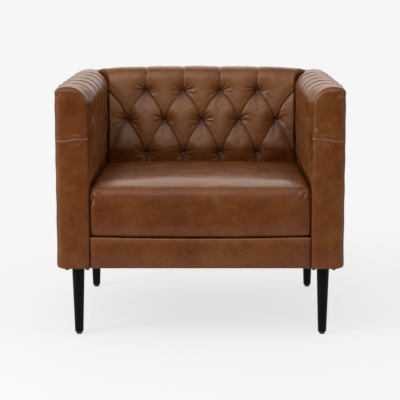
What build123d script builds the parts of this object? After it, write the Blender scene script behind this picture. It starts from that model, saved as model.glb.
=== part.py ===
from build123d import *
from dataclasses import dataclass
from math import cos, pi, radians, sin, tan
from typing import Callable
import os

# A deep-tufted leather armchair: arms as high as its back, one loose box cushion and four turned legs.
# Millimetres. The chair faces -Y, X runs across it, and the floor under its middle is the origin.
# Left and right are as seen from the front. The right side is modelled and mirrored.

# Overall size
WIDTH = 812.0
DEPTH = 790.0
HEIGHT = 735.0
UNDERSIDE = 212.0  # floor to the underside of the upholstered body

# Arms, back and seat
ARM_THICKNESS = 91.0  # outer face to the plane of the tufts
BACK_THICKNESS = 145.0  # rear face to the plane of the tufts, at the seat
BACK_RAKE = 8.0  # degrees that the inside back leans
SEAT_HEIGHT = 445.0  # floor to the cushion's top seam
BORDER_HEIGHT = 88.0  # leather border below the cushion
REAR_CORNER = 45.0  # radius of the rear corners, seen from above

# Covers and padding
PANEL = 4.0  # outside panel, leather on a thin backing
SHEET = 3.0  # tufted cover where it is drawn flat, at the pleats
FOAM = 23.0  # slab behind a tufted cover
FACING = 22.0  # padded front of an arm
FACING_ROUND = 8.0  # rounding of the facing's front edge
FACING_ROLL = 50.0  # radius of the facing's upper inner corner
PLEAT_DEPTH = 6.0
PLEAT_WIDTH = 14.0
BORDER = 19.0  # padded border in front of the front rail
BORDER_ROUND = 7.0
PAD_RISE = 25.0  # deck to the bottom edge of the tufted pads
DECK = 3.5
DUST_COVER = 1.5
COVER_SEAM = 0.4  # gap on each side of a seam between two covers

# Tufting
ROLL_RADIUS = 50.0  # roll between the inside face and the top
ROLL_STEPS = 4
TOP_CROWN = 8.0  # swell of the pleated top
EDGE_CROWN = 3.0  # swell where the top meets the outside panel
BACK_CROWN = 28.0  # swell of the back's pillows between the tufts
ARM_CROWN = 19.0  # swell of the arms' pillows
NEAR_TUFT_SHARE = 0.72  # of that swell, halfway from the widest place to a tuft
CORNER_SLOPE = 0.19  # swell of a pillow at an inside corner, as a share of its width
ROW_BELOW_ROLL = 15.0  # start of the roll to the first row of tufts
ARM_LAST_ROW = 61.0  # cushion's top seam to the last row on the arms
BACK_LAST_ROW = 17.0  # cushion's top seam to the last row on the back
BACK_MIDDLE_RAISE = 6.0  # the back's middle row stands this far above halfway
CORNER_SPACE = 72.0  # last tuft of the middle row to the inside corner
BACK_TUFTS = 5  # tufts in the middle row
ARM_TUFTS = 5
ARM_OVERHANG_RISE = 16.0  # cushion's top seam to where the arm's pillows draw in
ARM_OVERHANG = 11.0  # swell of the arm's pillows there
HIDDEN_CROWN = 0.5  # swell of the arm's cover beside the cushion
BACK_SEAT_CROWN = 24.0  # swell of the back's pillows at the cushion's top seam
BACK_FOOT_CROWN = 10.0  # and at their lower edge

# Tuft ties
KNOT_RADIUS = 3.2
KNOT_HEIGHT = 2.6
TWINE = 2.4
TIE_PLAY = 0.4  # gap round a tie
WELL_RADIUS = 6.5  # dimple that a knot sits in
WELL_HEIGHT = 14.0
ANCHOR = 12.0
ANCHOR_THICKNESS = 2.5

# Seat cushion
CUSHION_SIDE_GAP = 1.0
CUSHION_FRONT_SETBACK = 9.0  # arm front to the cushion's front seam
CUSHION_REAR_GAP = 4.0  # cushion to the back's lower edge
CUSHION_LIFT = 0.3  # deck to the cushion
CUSHION_CROWN = 17.0  # at the middle of the seat
CUSHION_SHOULDER_CROWN = 13.5
CUSHION_EDGE_CROWN = 4.0  # along the arms
CUSHION_FRONT_SWELL = 7.0
CUSHION_REAR_SWELL = 3.0
CUSHION_DRAW_IN = 6.0  # seams drawn in at the four corners
CUSHION_SHOULDER = 90.0  # side of the cushion to where its seams run straight
CUSHION_COVER = 2.5
CORE_PLAY = 0.3

# Frame
BOARD = 9.0  # plywood behind the foam
SEAT_RAIL = 45.0  # thickness of the front and rear seat rails
SIDE_RAIL = 32.0
WEBBING_DROP = 10.0  # deck's top to the seat rails' top
FRONT_POST = 40.0  # front to back
REAR_POST = 80.0
TOP_RAIL_HEIGHT = 28.0
TOP_PADDING = 14.0  # foam over the top rails
BOARD_BELOW_TOP = 10.0  # top rail's top to the boards' top edge
LOWER_RAIL_HEIGHT = 42.0
BACK_RAIL = 40.0  # front to back
TENON_LENGTH = 18.0
TENON_SHOULDER = 6.0
TENON_PLAY = 0.2
BLOCK_HEIGHT = 60.0
BLOCK_ACROSS = 82.0  # corner block's reach along the front or rear rail
BLOCK_ALONG = 130.0  # and along the side rail

# Webbing
STRAP_WIDTH = 60.0
STRAP = 2.2
STRAP_PLAY = 0.2
STRAPS_LONG = 5
STRAPS_CROSS = 5
STRAP_LAP = 14.0  # bare rail left past a strap's end

# Legs
LEG_TOP_RADIUS = 18.5
LEG_FOOT_RADIUS = 12.3
LEG_INSET = 85.0  # leg's axis to the front or rear face
LEG_SIDE_INSET = 50.0
GLIDE_RADIUS = 10.0
GLIDE_FLAT_RADIUS = 7.0
GLIDE_HEIGHT = 8.0
GLIDE_PIN_RADIUS = 2.0
GLIDE_PIN = 15.0
PLATE_SIZE = 76.0
PLATE = 5.0
PLATE_CORNER = 6.0
PLATE_PLAY = 1.0
BOLT_RADIUS = 4.0
BOLT_LENGTH = 50.0
SCREW_SPREAD = 29.0  # plate's middle to a screw, across and along
SCREW_RADIUS = 3.0
SCREW_LENGTH = 28.0  # in the wood
SCREW_HEAD_RADIUS = 6.2
SCREW_HEAD = 12.0
SCREW_HEAD_DOME = 4.0
HOLE_PLAY = 0.15
CUT_MARGIN = 10.0  # reach of a cutting tool past what it cuts

# Places worked out from the sizes above
SIDE = WIDTH / 2
REAR = DEPTH / 2
FRONT = -REAR
INSIDE = SIDE - ARM_THICKNESS
RAKE = radians(BACK_RAKE)
DECK_TOP = UNDERSIDE + BORDER_HEIGHT
TOP = HEIGHT - TOP_CROWN
ROLL_CENTRE = TOP - ROLL_RADIUS
FIRST_ROW = ROLL_CENTRE - ROW_BELOW_ROLL
PAD_BOTTOM = DECK_TOP + PAD_RISE
PAD_FRONT = FRONT + FACING
FRAME_SIDE = SIDE - PANEL
FRAME_REAR = REAR - PANEL
FRAME_BOTTOM = UNDERSIDE + DUST_COVER
SEAT_RAIL_TOP = DECK_TOP - WEBBING_DROP
TOP_RAIL_TOP = TOP - SHEET - TOP_PADDING
BOARD_TOP = TOP_RAIL_TOP - BOARD_BELOW_TOP
LOWER_RAIL_TOP = PAD_BOTTOM + LOWER_RAIL_HEIGHT
BOARD_REAR = SHEET + FOAM + BOARD  # depth of a board's rear face below the tufts
ARM_BOARD_FACE = INSIDE + SHEET + FOAM
POST_INNER = ARM_BOARD_FACE + BOARD
SIDE_RAIL_INNER = FRAME_SIDE - SIDE_RAIL
FRONT_POST_REAR = PAD_FRONT + FRONT_POST
REAR_POST_FRONT = FRAME_REAR - REAR_POST
FRONT_RAIL_REAR = PAD_FRONT + SEAT_RAIL
REAR_RAIL_FRONT = FRAME_REAR - SEAT_RAIL
LEG_X = SIDE - LEG_SIDE_INSET
LEG_Y = REAR - LEG_INSET
PLATE_BOTTOM = FRAME_BOTTOM - PLATE
LEG_PLACES = [(x, y) for x in (-LEG_X, LEG_X) for y in (-LEG_Y, LEG_Y)]
SCREW_PLACES = [
    (x + across * SCREW_SPREAD, y + along * SCREW_SPREAD)
    for x, y in LEG_PLACES
    for across in (-1, 1)
    for along in (-1, 1)
]

# Where a turned shape's own origin lies
FROM_BOTTOM = Align.CENTER, Align.CENTER, Align.MIN
FROM_TOP = Align.CENTER, Align.CENTER, Align.MAX


@dataclass
class Station:
    """A place on a panel's profile, and how far the profile has turned from upright towards the top."""

    out: float
    up: float
    turn: float

    def raised(self, height):
        """The place at this height above the profile, or below it where the height is negative."""
        return self.out - height * cos(self.turn), self.up + height * sin(self.turn)


@dataclass
class Panel:
    """One padded side of the seat: a face that leans, rolls over and runs flat to the outer edge."""

    tuft_plane: float
    rake: float
    edge: float
    crown: float
    at: Callable

    def face_out(self, up, behind=0.0):
        return self.tuft_plane + (up - SEAT_HEIGHT) * tan(self.rake) + behind / cos(self.rake)

    def face(self, up):
        return Station(self.face_out(up), up, self.rake)

    def roll(self):
        start_up = ROLL_CENTRE + ROLL_RADIUS * sin(self.rake)
        centre_out = self.face_out(start_up) + ROLL_RADIUS * cos(self.rake)
        stations = []
        for step in range(ROLL_STEPS + 1):
            turn = self.rake + (pi / 2 - self.rake) * step / ROLL_STEPS
            stations.append(
                Station(centre_out - ROLL_RADIUS * cos(turn), ROLL_CENTRE + ROLL_RADIUS * sin(turn), turn)
            )
        return stations

    def top(self):
        """The flat top, from just past the roll to the outer edge."""
        start = self.roll()[-1].out + 2 * COVER_SEAM
        return [Station(start, TOP, pi / 2), Station(self.edge, TOP, pi / 2)]

    def profile(self):
        return [self.face(PAD_BOTTOM), *self.roll(), *self.top()]


BACK = Panel(REAR - BACK_THICKNESS, RAKE, REAR, BACK_CROWN, lambda along, out, up: Vector(along, out, up))
ARM = Panel(INSIDE, 0.0, SIDE, ARM_CROWN, lambda along, out, up: Vector(out, along, up))


def fixed(column):
    return lambda station: column


def back_corner(station):
    """Where the back's cover ends at the right arm's seam: mitred over the roll, then straight back."""
    reach = station.out - BACK.face_out(min(station.up, ROLL_CENTRE))
    return INSIDE + min(max(reach, 0.0), ROLL_RADIUS) - COVER_SEAM


def arm_corner(station):
    """Where the arm's cover ends at the seam with the back, or past the seam at the rear face."""
    reach = station.out - INSIDE
    if reach > ROLL_RADIUS + COVER_SEAM:
        return REAR
    return BACK.face_out(min(station.up, ROLL_CENTRE)) + reach - COVER_SEAM


def prism(panel, points, start, end):
    """A panel's outline of (out, up) points, drawn out from one column to another."""
    corners = [panel.at(start, out, up) for out, up in points]
    face = Face(Wire.make_polygon(corners, close=True))
    return Solid.extrude(face, panel.at(end, 0, 0) - panel.at(start, 0, 0))


def block(x, y, z):
    """A box between pairs of limits."""
    size = Box(x[1] - x[0], y[1] - y[0], z[1] - z[0])
    return Pos((x[0] + x[1]) / 2, (y[0] + y[1]) / 2, (z[0] + z[1]) / 2) * size


def mirrored(shape):
    return mirror(shape, about=Plane.YZ)


def rear_corner_waste(side, rear, radius):
    """What rounding takes off the right rear corner of a piece with these faces."""
    height = (-CUT_MARGIN, HEIGHT + CUT_MARGIN)
    square = block((side - radius, side + radius), (rear - radius, rear + radius), height)
    kept = Pos(side - radius, rear - radius, HEIGHT / 2) * Cylinder(radius, HEIGHT + 4 * CUT_MARGIN)
    return square - kept


def swell(panel, station, left, right, crown):
    """A section of a pillow: a straight chord on the profile and an arc that rises to the crown."""
    start = panel.at(left, station.out, station.up)
    end = panel.at(right, station.out, station.up)
    peak = panel.at((left + right) / 2, *station.raised(crown))
    return Wire([Edge.make_line(start, end), Edge.make_three_point_arc(end, peak, start)])


def pillow(sections):
    return Solid.make_loft(sections, ruled=True)


def tuft_point(panel, station, column):
    return Vertex(*panel.at(column, station.out, station.up))


def crown_limit(left, right, at_corner, crown):
    return min(crown, CORNER_SLOPE * (right - left)) if at_corner else crown


def middle_pillow(panel, rows, column, left, right, at_corner):
    """A diamond in two halves between four tufts: two in the middle row, one above and one below."""
    wide = panel.face(rows[1]), left, right
    halves = []
    for row in rows[::2]:
        point = panel.face(row)
        sections = [tuft_point(panel, point, column(point))]
        if not at_corner:
            near = [(column(point) + side) / 2 for side in (left, right)]
            between = panel.face((row + rows[1]) / 2)
            sections.append(swell(panel, between, *near, NEAR_TUFT_SHARE * panel.crown))
        sections.append(swell(panel, *wide, crown_limit(left, right, at_corner, panel.crown)))
        halves.append(pillow(sections))
    return halves


def running_pillow(panel, rows, tuft, left, right, run, at_corner):
    """A pillow that opens from a tuft of the middle row to the next row and runs on along the profile."""
    start, opened = panel.face(rows[0]), panel.face(rows[1])
    between = panel.face((rows[0] + rows[1]) / 2)
    near = [(tuft + side(opened)) / 2 for side in (left, right)]
    sections = [tuft_point(panel, start, tuft), swell(panel, between, *near, NEAR_TUFT_SHARE * panel.crown)]
    for station, crown in [(opened, panel.crown), *run]:
        ends = left(station), right(station)
        sections.append(swell(panel, station, *ends, crown_limit(*ends, at_corner, crown)))
    return pillow(sections)


def top_run(panel):
    """The stations above the first row, where the swell eases off over the roll."""
    run = [(s, TOP_CROWN + (panel.crown - TOP_CROWN) * cos(s.turn) ** 2) for s in panel.roll()]
    start, edge = panel.top()
    return [*run, (start, TOP_CROWN), (edge, EDGE_CROWN)]


def cover_sheet(panel, first, last):
    """The drawn-flat layer under the pillows, as long at each station as its two ends allow."""
    sections = []
    for station in panel.profile():
        ends = first(station), last(station)
        under = station.raised(-SHEET)
        corners = [panel.at(end, station.out, station.up) for end in ends]
        corners += [panel.at(end, *under) for end in reversed(ends)]
        sections.append(Wire.make_polygon(corners, close=True))
    return Solid.make_loft(sections, ruled=True)


def tufted_cover(panel, rows, odd, even, foot_run, corners):
    """A cover with pillows sewn between three rows of tufts. Corners names its mitred ends, 0 and -1."""
    pillows = []
    last = len(odd) - 2
    for place, tuft in enumerate(even):
        at_corner = (place == 0 and 0 in corners) or (place == last and -1 in corners)
        sides = odd[place], odd[place + 1]
        pillows.append(running_pillow(panel, rows[1::-1], tuft, *sides, top_run(panel), at_corner))
        pillows.append(running_pillow(panel, rows[1:], tuft, *sides, foot_run, at_corner))
    for place, column in enumerate(odd[1:-1]):
        pillows += middle_pillow(panel, rows, column, even[place], even[place + 1], False)
    middle = panel.face(rows[1])
    for corner in corners:
        ends = sorted((odd[corner](middle), even[corner]))
        pillows += middle_pillow(panel, rows, odd[corner], *ends, True)
    return cover_sheet(panel, odd[0], odd[-1]).fuse(*pillows)


def tuft_frames(panel, rows, odd, even):
    """A frame at each tied tuft, with Z pointing out of the cover."""
    places = [(column, row) for row in rows[::2] for column in odd]
    places += [(column, rows[1]) for column in even]
    along = panel.at(1, 0, 0)
    frames = []
    for column, row in places:
        station = panel.face(row)
        outward = panel.at(0, -cos(station.turn), sin(station.turn))
        frames.append(Plane(panel.at(column, station.out, station.up), x_dir=along, z_dir=outward))
    return frames


def square_bar(size, bottom, top):
    return block((-size / 2, size / 2), (-size / 2, size / 2), (bottom, top))


def tie(frame):
    """A knot in the dimple, its twine through foam and board, and the anchor behind."""
    knot = extrude(RegularPolygon(KNOT_RADIUS, 6), KNOT_HEIGHT)
    twine = square_bar(TWINE, -BOARD_REAR, 0)
    anchor = square_bar(ANCHOR, -BOARD_REAR - ANCHOR_THICKNESS, -BOARD_REAR)
    return frame.location * (knot + twine + anchor)


def tie_hole(frame):
    return frame.location * square_bar(TWINE + 2 * TIE_PLAY, -BOARD_REAR - CUT_MARGIN, KNOT_HEIGHT)


def well(frame):
    return frame.location * extrude(RegularPolygon(WELL_RADIUS, 6), WELL_HEIGHT)


def group(shapes):
    return Compound([solid for shape in shapes for solid in shape.solids()])


def cut(shape, tools):
    return shape.cut(*[solid for tool in tools for solid in tool.solids()])


def tuft_rows(last, middle_raise):
    return FIRST_ROW, (FIRST_ROW + last) / 2 + middle_raise, last


RIGHT_FRAME_CORNER = rear_corner_waste(FRAME_SIDE, FRAME_REAR, REAR_CORNER - PANEL)
FRAME_CORNERS = [RIGHT_FRAME_CORNER, mirrored(RIGHT_FRAME_CORNER)]

# Tuft layout
BACK_ROWS = tuft_rows(SEAT_HEIGHT + BACK_LAST_ROW, BACK_MIDDLE_RAISE)
ARM_ROWS = tuft_rows(SEAT_HEIGHT + ARM_LAST_ROW, 0.0)
BACK_PITCH = 2 * (INSIDE - CORNER_SPACE) / (BACK_TUFTS - 1)
BACK_EVEN = [(place - (BACK_TUFTS - 1) / 2) * BACK_PITCH for place in range(BACK_TUFTS)]
BACK_ODD = [column + BACK_PITCH / 2 for column in BACK_EVEN[:-1]]
ARM_PITCH = (BACK.face_out(ARM_ROWS[1]) - CORNER_SPACE - PAD_FRONT) / ARM_TUFTS
ARM_EVEN = [PAD_FRONT + (place + 1) * ARM_PITCH for place in range(ARM_TUFTS)]
ARM_ODD = [column - ARM_PITCH / 2 for column in ARM_EVEN]
BACK_TUFT_FRAMES = tuft_frames(BACK, BACK_ROWS, BACK_ODD, BACK_EVEN)
ARM_TUFT_FRAMES = tuft_frames(ARM, ARM_ROWS, ARM_ODD, ARM_EVEN)
BACK_HOLES = [tie_hole(frame) for frame in BACK_TUFT_FRAMES]
ARM_HOLES = [tie_hole(frame) for frame in ARM_TUFT_FRAMES]


def back_cover():
    foot_run = [
        (BACK.face(SEAT_HEIGHT), BACK_SEAT_CROWN),
        (BACK.face(PAD_BOTTOM), BACK_FOOT_CROWN),
    ]
    columns = [lambda s: -back_corner(s), *[fixed(c) for c in BACK_ODD], back_corner]
    cover = tufted_cover(BACK, BACK_ROWS, columns, BACK_EVEN, foot_run, (0, -1))
    return cut(cover, [*BACK_HOLES, *[well(frame) for frame in BACK_TUFT_FRAMES]])


def arm_cover():
    foot_run = [
        (ARM.face(SEAT_HEIGHT + ARM_OVERHANG_RISE), ARM_OVERHANG),
        (ARM.face(SEAT_HEIGHT + CUSHION_EDGE_CROWN + CUSHION_SIDE_GAP), HIDDEN_CROWN),
        (ARM.face(PAD_BOTTOM), HIDDEN_CROWN),
    ]
    columns = [fixed(PAD_FRONT), *[fixed(c) for c in ARM_ODD], arm_corner]
    cover = tufted_cover(ARM, ARM_ROWS, columns, [PAD_FRONT, *ARM_EVEN], foot_run, (-1,))
    waste = [rear_corner_waste(SIDE, REAR, REAR_CORNER)]
    return cut(cover, [*ARM_HOLES, *[well(frame) for frame in ARM_TUFT_FRAMES], *waste])


def behind_back(depth):
    """Everything further back than this depth below the back's tufts."""
    points = [(BACK.face_out(up, depth), up) for up in (0.0, HEIGHT)]
    points += [(REAR + CUT_MARGIN, HEIGHT), (REAR + CUT_MARGIN, 0.0)]
    return prism(BACK, points, -WIDTH, WIDTH)


def arm_foam():
    under_cover = [station.raised(-SHEET) for station in ARM.profile()[:-2]]
    points = [
        *under_cover,
        (FRAME_SIDE, TOP - SHEET),
        (FRAME_SIDE, TOP_RAIL_TOP),
        (POST_INNER, TOP_RAIL_TOP),
        (POST_INNER, BOARD_TOP),
        (ARM_BOARD_FACE, BOARD_TOP),
        (ARM_BOARD_FACE, PAD_BOTTOM),
    ]
    slab = prism(ARM, points, PAD_FRONT, REAR)
    return cut(slab, [behind_back(SHEET + FOAM), *ARM_HOLES])


def back_foam():
    under_cover = [station.raised(-SHEET) for station in BACK.profile()[:-2]]
    board_face = SHEET + FOAM
    board_rear = BACK.face_out(BOARD_TOP, BOARD_REAR)
    points = [
        *under_cover,
        (FRAME_REAR, TOP - SHEET),
        (FRAME_REAR, TOP_RAIL_TOP),
        (BACK.face_out(TOP_RAIL_TOP, BOARD_REAR), TOP_RAIL_TOP),
        (board_rear, BOARD_TOP),
        (BACK.face_out(BOARD_TOP, board_face), BOARD_TOP),
        (BACK.face_out(PAD_BOTTOM, board_face), PAD_BOTTOM),
    ]
    half = INSIDE + SHEET - COVER_SEAM
    slab = prism(BACK, points, -half, half)
    corner_start = BACK.roll()[-1].out
    corners = block((-FRAME_SIDE, FRAME_SIDE), (corner_start, FRAME_REAR), (TOP_RAIL_TOP, TOP - SHEET))
    return cut(slab.fuse(corners), [*BACK_HOLES, *FRAME_CORNERS])


def arm_board():
    board = block((ARM_BOARD_FACE, POST_INNER), (PAD_FRONT, REAR), (PAD_BOTTOM, BOARD_TOP))
    return cut(board, [behind_back(SHEET + FOAM), *ARM_HOLES])


def back_board():
    faces = SHEET + FOAM, BOARD_REAR
    points = [(BACK.face_out(up, faces[0]), up) for up in (PAD_BOTTOM, BOARD_TOP)]
    points += [(BACK.face_out(up, faces[1]), up) for up in (BOARD_TOP, PAD_BOTTOM)]
    return cut(prism(BACK, points, -POST_INNER, POST_INNER), BACK_HOLES)


def raked_rail(bottom, top):
    """A rail across the back, bevelled on its front to carry the leaning board."""
    rear = BACK.face_out(top, BOARD_REAR) + BACK_RAIL
    points = [(BACK.face_out(up, BOARD_REAR), up) for up in (bottom, top)]
    points += [(rear, top), (rear, bottom)]
    return prism(BACK, points, -POST_INNER, POST_INNER)


def tenon(across, along, up, play=0.0):
    """A tenon between these limits, or with play its mortise."""
    limits = [(low - play, high + play) for low, high in (across, along, up)]
    return block(*limits)


# The seat rails' tenons stay clear of the leg screws below them
TENON_UP = FRAME_BOTTOM + SCREW_LENGTH + TENON_SHOULDER, SEAT_RAIL_TOP - TENON_SHOULDER


def rail_tenons(play=0.0):
    """The tenons on the right of the chair: front, rear and side seat rails, arm top and lower rails."""
    into_posts = POST_INNER - TENON_SHOULDER, POST_INNER + TENON_LENGTH
    front_post = FRONT_POST_REAR - TENON_LENGTH, FRONT_POST_REAR + TENON_SHOULDER
    rear_post = REAR_POST_FRONT - TENON_SHOULDER, REAR_POST_FRONT + TENON_LENGTH
    side_rail = FRAME_SIDE - SIDE_RAIL / 2 + TENON_SHOULDER / 2, FRAME_SIDE - TENON_SHOULDER
    arm_rail = POST_INNER + TENON_SHOULDER, FRAME_SIDE - TENON_SHOULDER
    top_rail = TOP_RAIL_TOP - TOP_RAIL_HEIGHT + TENON_SHOULDER, TOP_RAIL_TOP - TENON_SHOULDER
    lower_rail = PAD_BOTTOM + TENON_SHOULDER, LOWER_RAIL_TOP - TENON_SHOULDER
    front_rail = PAD_FRONT + TENON_SHOULDER, FRONT_POST_REAR - TENON_LENGTH - TENON_SHOULDER / 2
    rear_rail = REAR_RAIL_FRONT + TENON_SHOULDER, FRAME_REAR - TENON_SHOULDER
    return {
        "front_rail": [tenon(into_posts, front_rail, TENON_UP, play)],
        "rear_rail": [tenon(into_posts, rear_rail, TENON_UP, play)],
        "side_rail": [tenon(side_rail, post, TENON_UP, play) for post in (front_post, rear_post)],
        "arm_top_rail": [tenon(arm_rail, post, top_rail, play) for post in (front_post, rear_post)],
        "arm_lower_rail": [tenon(arm_rail, post, lower_rail, play) for post in (front_post, rear_post)],
    }


TENONS = rail_tenons()
MORTISES = [solid for group in rail_tenons(TENON_PLAY).values() for solid in group]


def screw_hole(place):
    hole = Cylinder(SCREW_RADIUS + HOLE_PLAY, SCREW_LENGTH + 2 * HOLE_PLAY, align=FROM_BOTTOM)
    return Pos(*place, FRAME_BOTTOM - HOLE_PLAY) * hole


SCREW_HOLES = [screw_hole(place) for place in SCREW_PLACES]


def post(along):
    """An upright of the frame between two limits front to back, mortised for its rails."""
    upright = block((POST_INNER, FRAME_SIDE), along, (FRAME_BOTTOM, TOP_RAIL_TOP))
    return cut(upright, [*MORTISES, *SCREW_HOLES, *FRAME_CORNERS])


def cross_rail(along, tenons):
    """A seat rail from post to post across the chair."""
    rail = block((-POST_INNER, POST_INNER), along, (FRAME_BOTTOM, SEAT_RAIL_TOP))
    for solid in tenons:
        rail = rail + solid + mirrored(solid)
    return cut(rail, SCREW_HOLES)


def long_rail(inner, bottom, top, tenons):
    """A rail from the front post to the rear post, flush with their outer faces."""
    rail = block((inner, FRAME_SIDE), (FRONT_POST_REAR, REAR_POST_FRONT), (bottom, top))
    for solid in tenons:
        rail = rail + solid
    return cut(rail, SCREW_HOLES)


def corner_block(rail_face, post_face, inward):
    """A glued block in the corner of two seat rails and a post, seen from above as a cut-off triangle."""
    points = [
        (POST_INNER, rail_face),
        (POST_INNER - BLOCK_ACROSS, rail_face),
        (SIDE_RAIL_INNER, post_face + inward * BLOCK_ALONG),
        (SIDE_RAIL_INNER, post_face),
        (POST_INNER, post_face),
    ]
    outline = Face(Wire.make_polygon([Vector(x, y, FRAME_BOTTOM) for x, y in points], close=True))
    return cut(Solid.extrude(outline, Vector(0, 0, BLOCK_HEIGHT)), SCREW_HOLES)


def corner_blocks():
    front = corner_block(FRONT_RAIL_REAR, FRONT_POST_REAR, 1)
    rear = corner_block(REAR_RAIL_FRONT, REAR_POST_FRONT, -1)
    return group([front, rear, mirrored(front), mirrored(rear)])


def strap_places(count, low, high):
    """Middles of evenly spread straps between two limits."""
    pitch = (high - low) / count
    return [low + (place + 0.5) * pitch for place in range(count)]


STRAP_X = strap_places(STRAPS_LONG, -INSIDE, INSIDE)
STRAP_Y = strap_places(STRAPS_CROSS, FRONT_RAIL_REAR, REAR_RAIL_FRONT)


def strap_profile(limit, crossings, first_side):
    """A strap's edge, as (along, up) points: flat on both rails and over and under by turns between them."""
    weave = STRAP / 2 + STRAP_PLAY / 2
    middle = SEAT_RAIL_TOP + STRAP + weave
    flat = STRAP_WIDTH / 2 + STRAP
    path = [(limit[0], SEAT_RAIL_TOP)]
    side = first_side
    for crossing in crossings:
        level = middle + side * weave - STRAP / 2
        path += [(crossing - flat, level), (crossing + flat, level)]
        side = -side
    path.append((limit[1], SEAT_RAIL_TOP))
    return path + [(along, up + STRAP) for along, up in reversed(path)]


def webbing_lengthwise():
    limit = PAD_FRONT + STRAP_LAP, FRAME_REAR - STRAP_LAP
    straps = []
    for place, x in enumerate(STRAP_X):
        points = strap_profile(limit, STRAP_Y, 1 if place % 2 else -1)
        straps.append(prism(BACK, points, x - STRAP_WIDTH / 2, x + STRAP_WIDTH / 2))
    return Compound(straps)


def webbing_crosswise():
    limit = -FRAME_SIDE + STRAP_LAP, FRAME_SIDE - STRAP_LAP
    straps = []
    for place, y in enumerate(STRAP_Y):
        points = strap_profile(limit, STRAP_X, -1 if place % 2 else 1)
        straps.append(prism(ARM, points, y - STRAP_WIDTH / 2, y + STRAP_WIDTH / 2))
    return Compound(straps)


def seat_deck():
    rear = BACK.face_out(PAD_BOTTOM, BOARD_REAR)
    return block((-POST_INNER, POST_INNER), (PAD_FRONT, rear), (DECK_TOP - DECK, DECK_TOP))


def arm_front():
    """The padded facing: its outline with a rolled inner corner, a soft front edge and one pleat across."""
    with BuildSketch(Plane.XZ.offset(-PAD_FRONT)) as outline:
        with BuildLine():
            Polyline(
                (INSIDE, HEIGHT - FACING_ROLL), (INSIDE, UNDERSIDE), (SIDE, UNDERSIDE), (SIDE, HEIGHT),
                (INSIDE + FACING_ROLL, HEIGHT),
            )
            RadiusArc((INSIDE + FACING_ROLL, HEIGHT), (INSIDE, HEIGHT - FACING_ROLL), -FACING_ROLL)
        make_face()
    facing = extrude(outline.sketch, FACING)
    front_face = facing.faces().sort_by(Axis.Y)[0]
    facing = fillet(front_face.edges(), FACING_ROUND)
    pleat = [
        (FRONT - PLEAT_DEPTH, ARM_ROWS[1] - PLEAT_WIDTH),
        (FRONT + PLEAT_DEPTH, ARM_ROWS[1]),
        (FRONT - PLEAT_DEPTH, ARM_ROWS[1] + PLEAT_WIDTH),
    ]
    return facing - prism(BACK, pleat, INSIDE - CUT_MARGIN, SIDE + CUT_MARGIN)


def front_border():
    half = INSIDE - COVER_SEAM
    border = block((-half, half), (PAD_FRONT - BORDER, PAD_FRONT), (UNDERSIDE, DECK_TOP))
    front_edges = border.faces().sort_by(Axis.Y)[0].edges().filter_by(Axis.X)
    return fillet(front_edges, BORDER_ROUND)


def outside_arm():
    """The outer side, bent round the rear corner to meet the outside back."""
    bend = SIDE - REAR_CORNER, REAR - REAR_CORNER
    with BuildSketch(Plane.XY.offset(UNDERSIDE)) as plan:
        with BuildLine():
            Polyline((FRAME_SIDE, bend[1]), (FRAME_SIDE, PAD_FRONT), (SIDE, PAD_FRONT), (SIDE, bend[1]))
            RadiusArc((SIDE, bend[1]), (bend[0], REAR), -REAR_CORNER)
            Line((bend[0], REAR), (bend[0], FRAME_REAR))
            RadiusArc((bend[0], FRAME_REAR), (FRAME_SIDE, bend[1]), REAR_CORNER - PANEL)
        make_face()
    return extrude(plan.sketch, TOP - SHEET - UNDERSIDE)


def outside_back():
    half = SIDE - REAR_CORNER
    return block((-half, half), (FRAME_REAR, REAR), (UNDERSIDE, TOP - SHEET))


def dust_cover():
    cloth = block((-FRAME_SIDE, FRAME_SIDE), (PAD_FRONT, FRAME_REAR), (UNDERSIDE, FRAME_BOTTOM))
    window = Box(PLATE_SIZE + 2 * PLATE_PLAY, PLATE_SIZE + 2 * PLATE_PLAY, DUST_COVER + 2 * CUT_MARGIN)
    return cut(cloth, [*FRAME_CORNERS, *[Pos(x, y, FRAME_BOTTOM) * window for x, y in LEG_PLACES]])


CUSHION_FRONT = FRONT + CUSHION_FRONT_SETBACK
CUSHION_REAR = BACK.face_out(PAD_BOTTOM) - BACK_FOOT_CROWN - CUSHION_REAR_GAP - CUSHION_REAR_SWELL
CUSHION_BOTTOM = DECK_TOP + CUSHION_LIFT


def cushion_section(x, draw_in, crown, skin):
    """The cushion cut front to back: flat below, swelling at the front and rear, crowned on top."""
    front = CUSHION_FRONT + draw_in + skin
    rear = CUSHION_REAR - draw_in - skin
    bottom = CUSHION_BOTTOM + skin
    top = SEAT_HEIGHT - skin
    middle = (bottom + top) / 2
    corners = [Vector(x, front, bottom), Vector(x, rear, bottom), Vector(x, rear, top), Vector(x, front, top)]
    return Wire([
        Edge.make_line(corners[0], corners[1]),
        Edge.make_three_point_arc(corners[1], Vector(x, rear + CUSHION_REAR_SWELL, middle), corners[2]),
        Edge.make_three_point_arc(corners[2], Vector(x, (front + rear) / 2, top + crown), corners[3]),
        Edge.make_three_point_arc(corners[3], Vector(x, front - CUSHION_FRONT_SWELL, middle), corners[0]),
    ])


def cushion_solid(skin):
    """The cushion's outer form, or its inside where a skin is taken off all round."""
    half = INSIDE - CUSHION_SIDE_GAP - skin
    shoulder = half - CUSHION_SHOULDER
    sections = [
        (-half, CUSHION_DRAW_IN, CUSHION_EDGE_CROWN),
        (-shoulder, 0.0, CUSHION_SHOULDER_CROWN),
        (0.0, 0.0, CUSHION_CROWN),
        (shoulder, 0.0, CUSHION_SHOULDER_CROWN),
        (half, CUSHION_DRAW_IN, CUSHION_EDGE_CROWN),
    ]
    return Solid.make_loft([cushion_section(*section, skin) for section in sections], ruled=True)


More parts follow.
